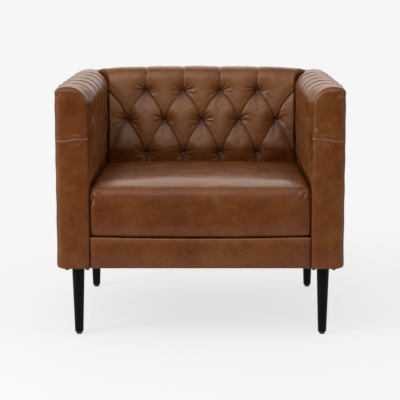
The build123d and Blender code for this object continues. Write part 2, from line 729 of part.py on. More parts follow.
def leg(x, y):
    """A round leg that tapers to the foot, drilled for its bolt and for the glide's pin."""
    length = PLATE_BOTTOM - GLIDE_HEIGHT
    turned = Cone(LEG_FOOT_RADIUS, LEG_TOP_RADIUS, length, align=FROM_BOTTOM)
    bolt_hole = Cylinder(BOLT_RADIUS + HOLE_PLAY, BOLT_LENGTH - PLATE + HOLE_PLAY, align=FROM_TOP)
    pin_hole = Cylinder(GLIDE_PIN_RADIUS + HOLE_PLAY, GLIDE_PIN + HOLE_PLAY, align=FROM_BOTTOM)
    drilled = turned - Pos(0, 0, length) * bolt_hole - pin_hole
    return Pos(x, y, GLIDE_HEIGHT) * drilled


def glide(x, y):
    """A domed glide with a flat foot and a pin driven into the leg."""
    with BuildSketch(Plane.XZ) as half:
        with BuildLine():
            Line((0, 0), (GLIDE_FLAT_RADIUS, 0))
            RadiusArc((GLIDE_FLAT_RADIUS, 0), (GLIDE_RADIUS, GLIDE_HEIGHT), -GLIDE_HEIGHT - GLIDE_RADIUS)
            Polyline(
                (GLIDE_RADIUS, GLIDE_HEIGHT), (GLIDE_PIN_RADIUS, GLIDE_HEIGHT),
                (GLIDE_PIN_RADIUS, GLIDE_HEIGHT + GLIDE_PIN), (0, GLIDE_HEIGHT + GLIDE_PIN), (0, 0),
            )
        make_face()
    return Pos(x, y, 0) * revolve(half.sketch, Axis.Z)


def leg_plate(x, y):
    sheet = square_bar(PLATE_SIZE, PLATE_BOTTOM, FRAME_BOTTOM)
    sheet = fillet(sheet.edges().filter_by(Axis.Z), PLATE_CORNER)
    depth = PLATE + 2 * CUT_MARGIN
    holes = [Pos(0, 0, FRAME_BOTTOM) * Cylinder(BOLT_RADIUS + HOLE_PLAY, depth)]
    for across in (-SCREW_SPREAD, SCREW_SPREAD):
        for along in (-SCREW_SPREAD, SCREW_SPREAD):
            holes.append(Pos(across, along, FRAME_BOTTOM) * Cylinder(SCREW_RADIUS + HOLE_PLAY, depth))
    return Pos(x, y, 0) * cut(sheet, holes)


def leg_bolt(x, y):
    return Pos(x, y, FRAME_BOTTOM) * Cylinder(BOLT_RADIUS, BOLT_LENGTH, align=FROM_TOP)


def plate_screw(place):
    """A screw with a tall domed head under the plate."""
    shank = Cylinder(SCREW_RADIUS, SCREW_LENGTH + PLATE, align=FROM_BOTTOM)
    head = Cylinder(SCREW_HEAD_RADIUS, SCREW_HEAD, align=FROM_TOP)
    head = fillet(head.edges().sort_by(Axis.Z)[0], SCREW_HEAD_DOME)
    return Pos(*place, PLATE_BOTTOM) * (shank + head)


def build_nodes():
    nodes = {
        "front_rail": cross_rail((PAD_FRONT, FRONT_RAIL_REAR), TENONS["front_rail"]),
        "rear_rail": cross_rail((REAR_RAIL_FRONT, FRAME_REAR), TENONS["rear_rail"]),
        "corner_blocks": corner_blocks(),
        "back_top_rail": raked_rail(TOP_RAIL_TOP - TOP_RAIL_HEIGHT, TOP_RAIL_TOP),
        "back_lower_rail": raked_rail(PAD_BOTTOM, LOWER_RAIL_TOP),
        "back_board": back_board(),
        "back_foam": back_foam(),
        "back_tufted_cover": back_cover(),
        "back_tuft_ties": group(tie(frame) for frame in BACK_TUFT_FRAMES),
        "outside_back_cover": outside_back(),
        "webbing_lengthwise": webbing_lengthwise(),
        "webbing_crosswise": webbing_crosswise(),
        "seat_deck": seat_deck(),
        "front_border_cover": front_border(),
        "dust_cover": dust_cover(),
        "seat_cushion_cover": cushion_solid(0.0) - cushion_solid(CUSHION_COVER),
        "seat_cushion_core": cushion_solid(CUSHION_COVER + CORE_PLAY),
        "leg_plates": group(leg_plate(*place) for place in LEG_PLACES),
        "leg_bolts": group(leg_bolt(*place) for place in LEG_PLACES),
        "leg_plate_screws": group(plate_screw(place) for place in SCREW_PLACES),
        "leg_glides": group(glide(*place) for place in LEG_PLACES),
    }
    right_side = {
        "side_rail": long_rail(SIDE_RAIL_INNER, FRAME_BOTTOM, SEAT_RAIL_TOP, TENONS["side_rail"]),
        "arm_top_rail": long_rail(
            POST_INNER, TOP_RAIL_TOP - TOP_RAIL_HEIGHT, TOP_RAIL_TOP, TENONS["arm_top_rail"]
        ),
        "arm_lower_rail": long_rail(POST_INNER, PAD_BOTTOM, LOWER_RAIL_TOP, TENONS["arm_lower_rail"]),
        "front_post": post((PAD_FRONT, FRONT_POST_REAR)),
        "rear_post": post((REAR_POST_FRONT, FRAME_REAR)),
        "arm_board": arm_board(),
        "arm_foam": arm_foam(),
        "arm_tufted_cover": arm_cover(),
        "arm_tuft_ties": group(tie(frame) for frame in ARM_TUFT_FRAMES),
        "arm_front_cover": arm_front(),
        "outside_arm_cover": outside_arm(),
        "front_leg": leg(LEG_X, -LEG_Y),
        "rear_leg": leg(LEG_X, LEG_Y),
    }
    for name, shape in right_side.items():
        nodes[name + "_right"] = shape
        nodes[name + "_left"] = group([mirrored(shape)])
    return nodes


os.makedirs("parts", exist_ok=True)
for node, shape in build_nodes().items():
    export_step(shape, f"parts/{node}.step")
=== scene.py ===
from contextlib import contextmanager
from math import acos, cos, pi, radians, sin, tan

import bmesh
import bpy
import numpy as np
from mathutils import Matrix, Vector


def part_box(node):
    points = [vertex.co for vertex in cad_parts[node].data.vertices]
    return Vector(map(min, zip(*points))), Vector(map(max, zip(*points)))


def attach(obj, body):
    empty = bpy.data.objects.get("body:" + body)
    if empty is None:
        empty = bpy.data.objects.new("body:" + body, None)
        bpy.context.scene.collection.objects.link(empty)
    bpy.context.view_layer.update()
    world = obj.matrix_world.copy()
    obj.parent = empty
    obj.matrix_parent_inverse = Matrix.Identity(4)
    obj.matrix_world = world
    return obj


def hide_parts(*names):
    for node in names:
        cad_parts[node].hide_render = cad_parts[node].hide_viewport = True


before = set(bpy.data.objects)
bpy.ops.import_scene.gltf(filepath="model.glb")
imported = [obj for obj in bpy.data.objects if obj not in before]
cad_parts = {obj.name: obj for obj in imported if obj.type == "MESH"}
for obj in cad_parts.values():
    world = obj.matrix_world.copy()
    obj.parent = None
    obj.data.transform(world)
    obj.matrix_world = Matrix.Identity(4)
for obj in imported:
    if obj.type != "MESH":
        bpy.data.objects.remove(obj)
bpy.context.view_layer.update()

MM = 0.001
TINY = 1e-9

# Places read from the frame
FACING_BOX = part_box("arm_front_cover_right")
BACK_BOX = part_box("back_tufted_cover")
ARM_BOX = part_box("arm_tufted_cover_right")
CUSHION_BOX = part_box("seat_cushion_cover")
BORDER_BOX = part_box("front_border_cover")
DECK_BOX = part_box("seat_deck")
DUST_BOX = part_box("dust_cover")
PLATE_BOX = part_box("leg_plates")
OUTSIDE_BACK_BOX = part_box("outside_back_cover")
INSIDE, FRONT, UNDERSIDE = FACING_BOX[0]
SIDE, PAD_FRONT, HEIGHT = FACING_BOX[1]
REAR = BACK_BOX[1].y
PAD_BOTTOM = ARM_BOX[0].z
CORNER_START = OUTSIDE_BACK_BOX[1].x
DECK_TOP = DECK_BOX[1].z

# Shape of the padded shell
TOP_CROWN = 8 * MM
TOP = HEIGHT - TOP_CROWN
ROLL = 50 * MM
ROLL_CENTRE = TOP - ROLL
RAKE = radians(8)
SEAT_SEAM = 445 * MM
BACK_AT_SEAT = REAR - 145 * MM
EDGE = 12 * MM
BOTTOM_ROUND = 11 * MM
TOP_WRAP = 706 * MM
RETURN = 10 * MM
OUTER_PAD = 2.5 * MM
REAR_CORNER = SIDE - CORNER_START
CORNER_CENTRE = REAR - REAR_CORNER
CLOTH_CORNER = DUST_BOX[1].x - CORNER_START
PLATE_HALF = 38 * MM
LEATHER_THICK = 1.8 * MM
DECK_THICK = 1.2 * MM
DUST_THICK = 0.8 * MM

# Distances between mesh points, and points round a turned edge
SPACING = 2.6 * MM
PANEL_SPACING = 4 * MM
SHEET_SPACING = 9 * MM
CUSHION_VOXEL = 6 * MM
EDGE_POINTS = 13
BEND_POINTS = 9
WRAP_POINTS = 5
MERGE = 0.02 * MM

# Seams: place on a turned edge, width there and on the flat, their painted shade, and the deepest groove
SEAM_TURN = radians(42)
SEAM_SPREAD = 0.22
SEAM_WIDTH = 4 * MM
SEAM_SHADE = 0.55
DEEPEST = -2 * MM

# Tufts
FIRST_ROW = ROLL_CENTRE - 15 * MM
ARM_LAST_ROW = SEAT_SEAM + 61 * MM
BACK_LAST_ROW = SEAT_SEAM + 17 * MM
ARM_ROWS = (FIRST_ROW, (FIRST_ROW + ARM_LAST_ROW) / 2, ARM_LAST_ROW)
BACK_ROWS = (FIRST_ROW, (FIRST_ROW + BACK_LAST_ROW) / 2 + 6 * MM, BACK_LAST_ROW)
CORNER_SPACE = 72 * MM
BACK_PILLOW = 28 * MM
ARM_PILLOW = 19 * MM
PILLOW_HALF = 34 * MM
CROWN_POWER = 0.8
CROWN_IN_DIMPLE = 0.35
UNEVEN_SHARE = 0.07
UNEVEN_SIZE = 150 * MM
DIMPLE_SHARE = 0.74
TOP_DIMPLE_SHARE = 0.3
DIMPLE_REACH = 20 * MM
DIMPLE_STRETCH = 1.45
DIMPLE_TAIL = 2.2
TUFT_BLEND = 6 * MM
KNOT = 2.7 * MM
KNOT_SINK = 2 * MM

# Ribs that the pillows turn into above the first row
RIB_START = 15 * MM
RIB_FULL = 65 * MM
RIB_NARROWING = 0.45

# Leather that fills out the roll at the top, and the share of it left in the corners
BACK_TOP_FILL = 9 * MM
CORNER_FILL = 0.45
FILL_POWER = 1.5

# Pleats by where they run: to the upper or lower row, over the top, or down behind the seat
UPPER, MIDDLE, LOWER, OVER_TOP, TO_SEAT = range(5)
DIAGONAL = (UPPER, LOWER)
PLEAT_BOW = {UPPER: 9 * MM, LOWER: 5 * MM}
PLEAT_STRENGTH = {OVER_TOP: 1.0, TO_SEAT: 2.0}
FALLS_RIGHT, FALLS_LEFT = 1.3, 0.75
PLEAT_END = ROLL_CENTRE + 300 * MM
PLEAT_POINTS = 8
PLEAT_DEPTH = 2.6 * MM
PLEAT_WIDTH = 2.3 * MM
PLEAT_AT = -0.5 * MM
PLEAT_LIP = 1.4 * MM
LIP_AT = 5.5 * MM
LIP_WIDTH = 5 * MM
PLEAT_BLEND = 7 * MM

# Wrinkles that fan out from each tuft, and dents of the leather
WRINKLE = 2.9 * MM
WRINKLES = (8, 13)
WRINKLE_AT = 15 * MM
WRINKLE_WIDTH = 12 * MM
WRINKLE_BEND = 0.25
WRINKLE_BEND_SIZE = 9 * MM
WRINKLE_BELOW = 0.2
DENT = 0.35 * MM
DENT_SIZE = 34 * MM

# Painted marks: painted highlight on the pleat lips clear of the tufts, painted shade in the pleats,
# painted shade on the tufts within a wider painted shade
LIP_HIGHLIGHT_AT, LIP_HIGHLIGHT_WIDTH, CLEAR_OF_TUFT = 3.5 * MM, 2.4 * MM, 12 * MM
PLEAT_DARK, PLEAT_DARK_AT, PLEAT_DARK_WIDTH = 0.75, -0.3 * MM, 2.2 * MM
TUFT_DARK_WIDTH, TUFT_SHADE, TUFT_SHADE_WIDTH = 8 * MM, 0.3, 26 * MM
LIP_HIGHLIGHT = 0.8

# Seat cushion and the border below it
CUSHION_TOP_EDGE = 12 * MM
CUSHION_LOW_EDGE = 3 * MM
CUSHION_CORNER = 5 * MM
CUSHION_FOOT = 439 * MM
CUSHION_CROWN = 22 * MM
CUSHION_CUTS = 30
SLACK = 3 * MM
SWELL_LIMIT = 4.5 * MM
SWELL_FRAMES = 16
BORDER_LIFT = 2 * MM
BORDER_DIP = 4 * MM

# Camera of the photograph
CAMERA_AT = (0.025, -4.181, 1.028)
CAMERA_SHIFT = -0.023
CAMERA_DOWN = radians(9.26)
LENS = 122.2
SENSOR = 36.0

draw = np.random.default_rng(7)


# Materials
def colour(code):
    """sRGB hex to linear"""
    parts = [int(code[place:place + 2], 16) / 255 for place in (1, 3, 5)]
    return [p / 12.92 if p <= 0.04045 else ((p + 0.055) / 1.055) ** 2.4 for p in parts] + [1.0]


def grey(value):
    return (value, value, value, 1.0)


def node(material, kind, links=None, **settings):
    """Adds a node, sets its own settings and its sockets, and links what comes in"""
    tree = getattr(material, "node_tree", material)
    made = tree.nodes.new(kind)
    for name, value in settings.items():
        setattr(made, name, value)
    for socket, value in (links or {}).items():
        if isinstance(value, bpy.types.NodeSocket):
            tree.links.new(value, made.inputs[socket])
        else:
            made.inputs[socket].default_value = value
    return made


def new_material(name):
    """Empty material, and the object coordinates that its patterns follow"""
    material = bpy.data.materials.new(name)
    material.use_nodes = True
    material.node_tree.nodes.clear()
    return material, node(material, "ShaderNodeTexCoord").outputs["Object"]


def finish_material(material, shader):
    node(material, "ShaderNodeOutputMaterial", {"Surface": shader.outputs[0]})
    return material


def principled(material, sockets):
    return finish_material(material, node(material, "ShaderNodeBsdfPrincipled", sockets))


def noise(material, place, size, **sockets):
    """Cloudy pattern of about the given size"""
    return node(material, "ShaderNodeTexNoise", {"Vector": place, "Scale": 1 / size, **sockets}).outputs


def ramp(material, value, stops):
    """Colours at given places of a value, shaded between"""
    made = node(material, "ShaderNodeValToRGB", {"Fac": value})
    for element, (place, shade) in zip(made.color_ramp.elements, (stops[0], stops[-1])):
        element.position, element.color = place, shade
    for place, shade in stops[1:-1]:
        made.color_ramp.elements.new(place).color = shade
    return made.outputs["Color"]


def mixed(material, share, first, second):
    return node(material, "ShaderNodeMix", {0: share, 6: first, 7: second}, data_type="RGBA").outputs[2]


def times(material, first, second):
    return node(material, "ShaderNodeMath", {0: first, 1: second}, operation="MULTIPLY").outputs[0]


def cell_edges(material, place, size):
    """Distance from the edges of a net of cells"""
    sockets = {"Vector": place, "Scale": 1 / size}
    net = node(material, "ShaderNodeTexVoronoi", sockets, feature="DISTANCE_TO_EDGE")
    return net.outputs["Distance"]


def bumped(material, height, strength, depth, **sockets):
    return node(material, "ShaderNodeBump", {
        "Height": height, "Strength": strength, "Distance": depth, **sockets}).outputs[0]


# Drum-dyed pull-up leather, waxed and polished: deep orange brown with cloudy patches and a satin shine
def pull_up_leather():
    streak_share, vein_bend, wear_and_highlight_strength, painted_shade_strength = 0.45, 0.06, 0.72, 0.8
    m, place = new_material("pull_up_leather_waxed")
    cloud = noise(m, place, 150 * MM, Detail=3.0, Roughness=0.5, Distortion=0.5)
    patch = noise(m, place, 42 * MM, Detail=5.0, Roughness=0.6, Distortion=0.9)
    scuff = noise(m, place, 9 * MM, Detail=4.0, Roughness=0.7)
    folds = noise(m, place, 14 * MM, Detail=3.0, Roughness=0.5, Distortion=0.8)
    base = ramp(m, cloud["Fac"], [
        (0.34, colour("#642f0a")), (0.5, colour("#703a0f")), (0.66, colour("#70410e"))])
    streak = ramp(m, patch["Fac"], [
        (0.3, colour("#5e290b")), (0.5, colour("#703910")), (0.72, colour("#824b1c"))])
    scuffed = ramp(m, scuff["Fac"], [(0.55, grey(0.0)), (0.85, grey(0.45))])
    rubbed = mixed(m, scuffed, mixed(m, streak_share, base, streak), colour("#855530"))
    # Pale hairline veins, about 45 mm apart, that come and go
    bent = node(m, "ShaderNodeMix", {0: vein_bend, 4: place, 5: folds["Color"]}, data_type="VECTOR")
    vein = cell_edges(m, bent.outputs[1], 45 * MM)
    hairline = ramp(m, vein, [(0.0, grey(0.5)), (0.045, grey(0.0))])
    showing = ramp(m, cloud["Fac"], [(0.46, grey(0.0)), (0.62, grey(1.0))])
    lined = mixed(m, times(m, hairline, showing), rubbed, colour("#98663c"))
    # Painted highlight, partly also rubbed wear: paler on the pad crowns, tops and pleat lips. Painted
    # shade: darker in folds, tufts, seams, tucks and lower corners
    wear_and_highlight = node(m, "ShaderNodeAttribute", attribute_name="wear_and_highlight").outputs["Fac"]
    pale = mixed(m, times(m, wear_and_highlight, wear_and_highlight_strength), lined, colour("#905f3a"))
    painted_shade = node(m, "ShaderNodeAttribute", attribute_name="painted_shade").outputs["Fac"]
    dark = times(m, painted_shade, painted_shade_strength)
    # 34160a is the colour of the painted shade
    leather = mixed(m, dark, pale, colour("#34160a"))
    # Hair cells about 1.4 mm across, with softer creases 14 mm apart
    grain = ramp(m, cell_edges(m, place, 1.4 * MM), [(0.0, grey(0.0)), (0.12, grey(1.0))])
    soft = bumped(m, folds["Fac"], 0.2, 2.0 * MM)
    bump = bumped(m, grain, 0.15, 0.1 * MM, Normal=soft)
    shine = ramp(m, patch["Fac"], [(0.3, grey(0.26)), (0.7, grey(0.35))])
    return principled(m, {
        "Base Color": leather, "Roughness": mixed(m, dark, shine, grey(0.48)), "Normal": bump,
        "IOR": 1.45, "Specular Tint": colour("#fff8f2")})


# Turned beech under black satin lacquer: near black with the grain just felt
def black_lacquered_beech():
    m, place = new_material("beech_turned_black_lacquer")
    along = node(m, "ShaderNodeMapping", {"Vector": place, "Scale": (1.0, 1.0, 0.06)})
    fibre = noise(m, along.outputs[0], 1.5 * MM, Detail=3.0)["Fac"]
    return principled(m, {
        "Base Color": ramp(m, fibre, [(0.3, colour("#060605")), (0.7, colour("#0c0c0b"))]),
        "Roughness": ramp(m, fibre, [(0.3, grey(0.42)), (0.7, grey(0.52))]),
        "Normal": bumped(m, fibre, 0.12, 0.1 * MM), "IOR": 1.2})


# Grained stuffs that differ only in colour, grain size and gloss
def grained(name, dark, pale, size, roughness, depth, stretch=(1.0, 1.0, 1.0), metallic=0.0, ior=1.5):
    uneven_gloss = 0.06
    m, place = new_material(name)
    along = node(m, "ShaderNodeMapping", {"Vector": place, "Scale": stretch})
    figure = noise(m, along.outputs[0], size, Detail=5.0, Roughness=0.6)["Fac"]
    gloss = [(0.3, grey(roughness - uneven_gloss)), (0.7, grey(roughness + uneven_gloss))]
    return principled(m, {
        "Base Color": ramp(m, figure, [(0.3, colour(dark)), (0.7, colour(pale))]),
        "Roughness": ramp(m, figure, gloss),
        "Normal": bumped(m, figure, 0.3, depth), "Metallic": metallic, "IOR": ior})


# Woven cloth: crossed threads, each a wave across the other
def woven(name, dark, pale, thread, roughness):
    m, place = new_material(name)
    wave = {"Vector": place, "Scale": 1 / (thread * pi), "Distortion": 0.4}
    warp, weft = (node(m, "ShaderNodeTexWave", wave, bands_direction=way) for way in "XY")
    cross = times(m, warp.outputs["Fac"], weft.outputs["Fac"])
    return principled(m, {
        "Base Color": ramp(m, cross, [(0.1, colour(dark)), (0.8, colour(pale))]), "Roughness": roughness,
        "Normal": bumped(m, cross, 0.4, thread * 0.3)})


LEATHER = pull_up_leather()
LEG_WOOD = black_lacquered_beech()
# Sawn beech of the hidden frame: pale straight grain
FRAME_WOOD = grained("beech_sawn", "#a98056", "#c9a273", 6 * MM, 0.6, 0.3 * MM, (1.0, 0.15, 1.0))
# Birch plywood face: pale, long open figure
PLYWOOD = grained("birch_plywood_sanded", "#b9996b", "#d6bb8e", 9 * MM, 0.6, 0.2 * MM, (1.0, 1.0, 0.12))
# Cut polyurethane foam: cream with an open cell
FOAM = grained("polyurethane_foam_cut", "#c9b98f", "#e2d6b2", 1.2 * MM, 0.9, 0.5 * MM)
# Zinc-plated bolts: bright, bluish grey metal
ZINC = grained("steel_zinc_plated", "#9a9ca0", "#b9bbbf", 3 * MM, 0.4, 0.05 * MM, metallic=1.0)
# Pressed steel under black powder coat: orange-peel texture
BLACK_STEEL = grained("steel_black_powder_coat", "#111111", "#1d1d1d", 1.6 * MM, 0.5, 0.1 * MM)
# Moulded nylon glide: dull dark grey
NYLON = grained("nylon_moulded", "#1c1c1c", "#2b2b2b", 2 * MM, 0.5, 0.05 * MM)
# Elastic upholstery webbing: dark brown, coarse weave
WEBBING = woven("webbing_elastic_woven", "#1d1712", "#4b3c2c", 2.2 * MM, 0.85)
# Waxed brown twine, knotted at the bottom of each tuft: pale specks in the dark dimples
TWINE = grained("linen_twine_waxed", "#6e4a28", "#a57d50", 1.5 * MM, 0.7, 0.3 * MM, ior=1.2)
# Brown decking cloth, drawn tight: dull, fine weave
DECK_CLOTH = woven("decking_cloth_cotton_twill", "#2a1c12", "#4d3625", 1.6 * MM, 0.9)
# Spunbonded black dust cloth: dull and felted
DUST_CLOTH = grained("dust_cloth_spunbonded", "#0f0f0f", "#1f1f1f", 2.4 * MM, 0.85, 0.1 * MM)


# Heights of the tufted pads
def soft_least(values, blend):
    """Smooth least of a list of arrays"""
    stack = np.array(values)
    least = stack.min(0)
    return least - blend * np.log(np.exp(-(stack - least) / blend).sum(0))


def smooth(low, high, value):
    share = np.clip((value - low) / (high - low), 0, 1)
    return share * share * (3 - 2 * share)


def bell(value, width):
    return np.exp(-(value / width) ** 2)


def at_least(least, share):
    """Share of one, raised so that it starts from the given least"""
    return least + (1 - least) * share


def ripple(a, b, size, seed, waves=7):
    """Smooth uneven waves of about the given size, mostly between -1 and 1"""
    usual_peak = 1.4
    dice = np.random.default_rng(seed)
    total = np.zeros_like(a)
    for _ in range(waves):
        angle = dice.uniform(0, pi)
        length = size * dice.uniform(0.7, 1.5)
        total += np.sin(2 * pi * (a * cos(angle) + b * sin(angle)) / length + dice.uniform(0, 2 * pi))
    return total / waves ** 0.5 / usual_peak


class Tufting:
    """Tufts and the pleats between them, on the flat sheet of one pad"""

    def __init__(self, pillow, wrinkled, top_flat, rows, even, odd, ends):
        self.pillow = pillow
        self.wrinkled = wrinkled
        self.top_flat = top_flat
        self.top_fold = 1.0 - 1.6 * top_flat
        self.first_row = rows[UPPER]
        self.tufts = [(u, rows[MIDDLE]) for u in even]
        self.tufts += [(u, rows[row]) for row in DIAGONAL for u in odd]
        self.pleats = []
        half = (even[1] - even[0]) / 2
        for u in even:
            for row in DIAGONAL:
                for other in (u - half, u + half):
                    inside = min(abs(other - o) for o in odd) < MM
                    if inside or ends[0] <= other <= ends[1]:
                        self.pleat((u, rows[MIDDLE]), (other, rows[row]), row)
        for u in odd:
            self.pleat((u, rows[UPPER]), (u, PLEAT_END), OVER_TOP)
            self.pleat((u, rows[LOWER]), (u, PAD_BOTTOM), TO_SEAT)

    def pleat(self, start, end, row):
        """One fold, slightly bowed, as a chain of points"""
        start, end = np.array(start), np.array(end)
        along = end - start
        outward = np.array((-along[1], along[0])) / np.hypot(*along)
        if row in DIAGONAL:
            outward = outward if outward[1] > 0 else -outward
            bow = PLEAT_BOW[row] + draw.normal(0, 1.0) * MM
        else:
            bow = draw.normal(0, 1.2) * MM
        steps = np.linspace(0, 1, PLEAT_POINTS)
        chain = [start + along * t + outward * bow * sin(pi * t) for t in steps]
        self.pleats.append((np.array(chain), row))

    def measure(self, u, s):
        """Distance to each tuft and to each pleat, side of the nearest pleat and its strength"""
        far = 9.0
        round_tufts = []
        for a, b in self.tufts:
            down = np.where(s > b, s - b, (s - b) / DIMPLE_TAIL)
            round_tufts.append(np.hypot((u - a) / DIMPLE_STRETCH, down))
        across_pleats = []
        nearest = np.full(u.shape, far)
        signed = np.full(u.shape, far)
        strength = np.ones_like(u)
        for chain, row in self.pleats:
            run = chain[-1] - chain[0]
            depth = PLEAT_STRENGTH.get(row, FALLS_RIGHT if run[0] * run[1] < 0 else FALLS_LEFT)
            best = np.full(u.shape, far)
            for a, b in zip(chain[:-1], chain[1:]):
                leg = b - a
                t = np.clip(((u - a[0]) * leg[0] + (s - a[1]) * leg[1]) / (leg @ leg), 0, 1)
                du, ds = u - a[0] - t * leg[0], s - a[1] - t * leg[1]
                d = np.hypot(du, ds)
                closer = d < nearest
                side = np.sign(ds if row in DIAGONAL else du)
                signed = np.where(closer, side * d, signed)
                strength = np.where(closer, depth, strength)
                nearest = np.where(closer, d, nearest)
                best = np.minimum(best, d)
            across_pleats.append(best)
        return round_tufts, across_pleats, signed, strength

    def heights(self, u, s, seed):
        """Swell of the pillows, depth of the pleats, how near each point is to a tuft, and the painted
        shade and painted lip highlight
        """
        round_tufts, across_pleats, signed, strength = self.measure(u, s)
        reach = soft_least(round_tufts, TUFT_BLEND)
        across = np.maximum(soft_least(across_pleats, PLEAT_BLEND), 0)
        dimple = 1 - np.exp(-np.maximum(reach, 0) / DIMPLE_REACH)
        over = smooth(self.first_row + RIB_START, self.first_row + RIB_FULL, s)
        half = PILLOW_HALF * (1 - RIB_NARROWING * over)
        crown = np.sin(pi / 2 * np.clip(across / half, 0, 1)) ** CROWN_POWER
        crown = at_least(self.top_flat * over, crown)
        share = DIMPLE_SHARE + (TOP_DIMPLE_SHARE - DIMPLE_SHARE) * over
        swell = self.pillow * (share * dimple + (1 - share) * crown * at_least(CROWN_IN_DIMPLE, dimple))
        swell *= 1 + UNEVEN_SHARE * ripple(u, s, UNEVEN_SIZE, seed)
        # Each pleat is a groove with a lip on one side
        fold = PLEAT_LIP * bell(signed - LIP_AT, LIP_WIDTH)
        fold -= PLEAT_DEPTH * bell(signed - PLEAT_AT, PLEAT_WIDTH)
        fold *= strength * (1 + self.top_fold * over)
        # Wrinkles, mostly above each tuft
        wrinkle = np.zeros_like(u)
        dice = np.random.default_rng(seed + 1)
        for (a, b), distance in zip(self.tufts, round_tufts):
            count = dice.integers(*WRINKLES)
            bend = WRINKLE_BEND * np.sin(distance / WRINKLE_BEND_SIZE + dice.uniform(0, 6))
            angle = np.arctan2(s - b, u - a) + bend
            fan = np.sin(count * angle + dice.uniform(0, 2 * pi))
            fan *= 0.65 + 0.35 * np.sin(2 * angle + dice.uniform(0, 6))
            fan *= at_least(WRINKLE_BELOW, np.clip(1.4 * np.sin(angle) + 0.1, 0, 1))
            wrinkle += WRINKLE * self.wrinkled * fan * bell(distance - WRINKLE_AT, WRINKLE_WIDTH)
        wrinkle += DENT * ripple(u, s, DENT_SIZE, seed + 2)
        # Painted highlight on the pleat lips clear of the tufts; painted shade in the pleats and in and
        # around the tufts
        lip = strength * bell(signed - LIP_HIGHLIGHT_AT, LIP_HIGHLIGHT_WIDTH) * (1 - bell(reach, CLEAR_OF_TUFT))
        in_pleat = PLEAT_DARK * strength * bell(signed - PLEAT_DARK_AT, PLEAT_DARK_WIDTH)
        in_tuft = bell(reach, TUFT_DARK_WIDTH) + TUFT_SHADE * bell(reach, TUFT_SHADE_WIDTH)
        return swell, fold, wrinkle, np.clip(in_pleat + in_tuft, 0, 1), dimple, lip


# Mesh helpers
@contextmanager
def edited(mesh):
    """Opens a mesh for editing, and writes it back"""
    work = bmesh.new()
    work.from_mesh(mesh)
    yield work
    work.to_mesh(mesh)
    work.free()


def spread(line, count):
    """Repeats a line of values across the columns of a grid"""
    return np.repeat(line[:, None], count, 1)


def stacked(line, count):
    """Repeats a line of values down the rows of a grid"""
    return np.repeat(line[None, :], count, 0)


def marked(grid, painted_shade, wear_and_highlight):
    """Grid of points with its painted shade and its painted highlight and wear"""
    return grid, {"painted_shade": painted_shade, "wear_and_highlight": wear_and_highlight}


def flipped(part):
    grid, marks = part
    return grid[:, ::-1], {key: value[:, ::-1] for key, value in marks.items()}


def build_piece(name, grids, material=None):
    """Joins point grids into one mesh, with their shared edges merged"""
    points, faces, values = [], [], {key: [] for key in grids[0][1]}
    start = 0
    for grid, marks in grids:
        rows, columns = grid.shape[:2]
        index = start + np.arange(rows * columns).reshape(rows, columns)
        quads = np.stack([index[:-1, :-1], index[1:, :-1], index[1:, 1:], index[:-1, 1:]], -1)
        faces.extend(quads.reshape(-1, 4).tolist())
        points.append(grid.reshape(-1, 3))
        for key in values:
            values[key].append(marks[key].reshape(-1))
        start += rows * columns
    mesh = bpy.data.meshes.new(name)
    mesh.from_pydata(np.concatenate(points).tolist(), [], faces)
    for key in values:
        layer = mesh.attributes.new(key, "FLOAT", "POINT")
        layer.data.foreach_set("value", np.concatenate(values[key]).astype(np.float32))
    with edited(mesh) as work:
        bmesh.ops.remove_doubles(work, verts=work.verts, dist=MERGE)
        bmesh.ops.dissolve_degenerate(work, dist=MERGE / 2, edges=work.edges)
    return show(name, mesh, material)


def show(name, mesh, material=None):
    piece = bpy.data.objects.new(name, mesh)
    bpy.context.scene.collection.objects.link(piece)
    shade_smooth(mesh)
    mesh.materials.clear()
    mesh.materials.append(material or LEATHER)
    return piece


def shade_smooth(mesh):
    mesh.polygons.foreach_set("use_smooth", [True] * len(mesh.polygons))


def face_outward(piece, outward):
    """Turns the mesh round if most of its faces look against the given directions"""
    mesh = piece.data
    agree = sum(p.normal.dot(outward(p.center)) * p.area for p in mesh.polygons)
    if agree < 0:
        mesh.flip_normals()


def even_normals(piece):
    with edited(piece.data) as work:
        bmesh.ops.recalc_face_normals(work, faces=work.faces)


def read_points(mesh):
    points = np.zeros(len(mesh.vertices) * 3)
    mesh.vertices.foreach_get("co", points)
    return points.reshape(-1, 3)


def write_points(mesh, points):
    mesh.vertices.foreach_set("co", points.reshape(-1))
    mesh.update()


def mirrored_piece(piece, name):
    mesh = piece.data.copy()
    points = read_points(mesh)
    points[:, 0] *= -1
    mesh.flip_normals()
    write_points(mesh, points)
    return show(name, mesh)


def thicken(piece, thickness):
    """Thickness behind the face, so that the piece is a closed shell"""
    wall = piece.modifiers.new("thickness", "SOLIDIFY")
    wall.thickness = thickness
    wall.offset = -1.0


def bake(piece):
    """Turns the piece's modifiers into plain mesh"""
    graph = bpy.context.evaluated_depsgraph_get()
    graph.update()
    seen = piece.evaluated_get(graph)
    made = bpy.data.meshes.new_from_object(seen, preserve_all_data_layers=True, depsgraph=graph)
    old = piece.data
    piece.modifiers.clear()
    piece.data = made
    made.name = old.name
    bpy.data.meshes.remove(old)


# Section that the tufted pads share
def back_face(up):
    return BACK_AT_SEAT + (up - SEAT_SEAM) * tan(RAKE)


ROLL_START = back_face(ROLL_CENTRE + ROLL * sin(RAKE))


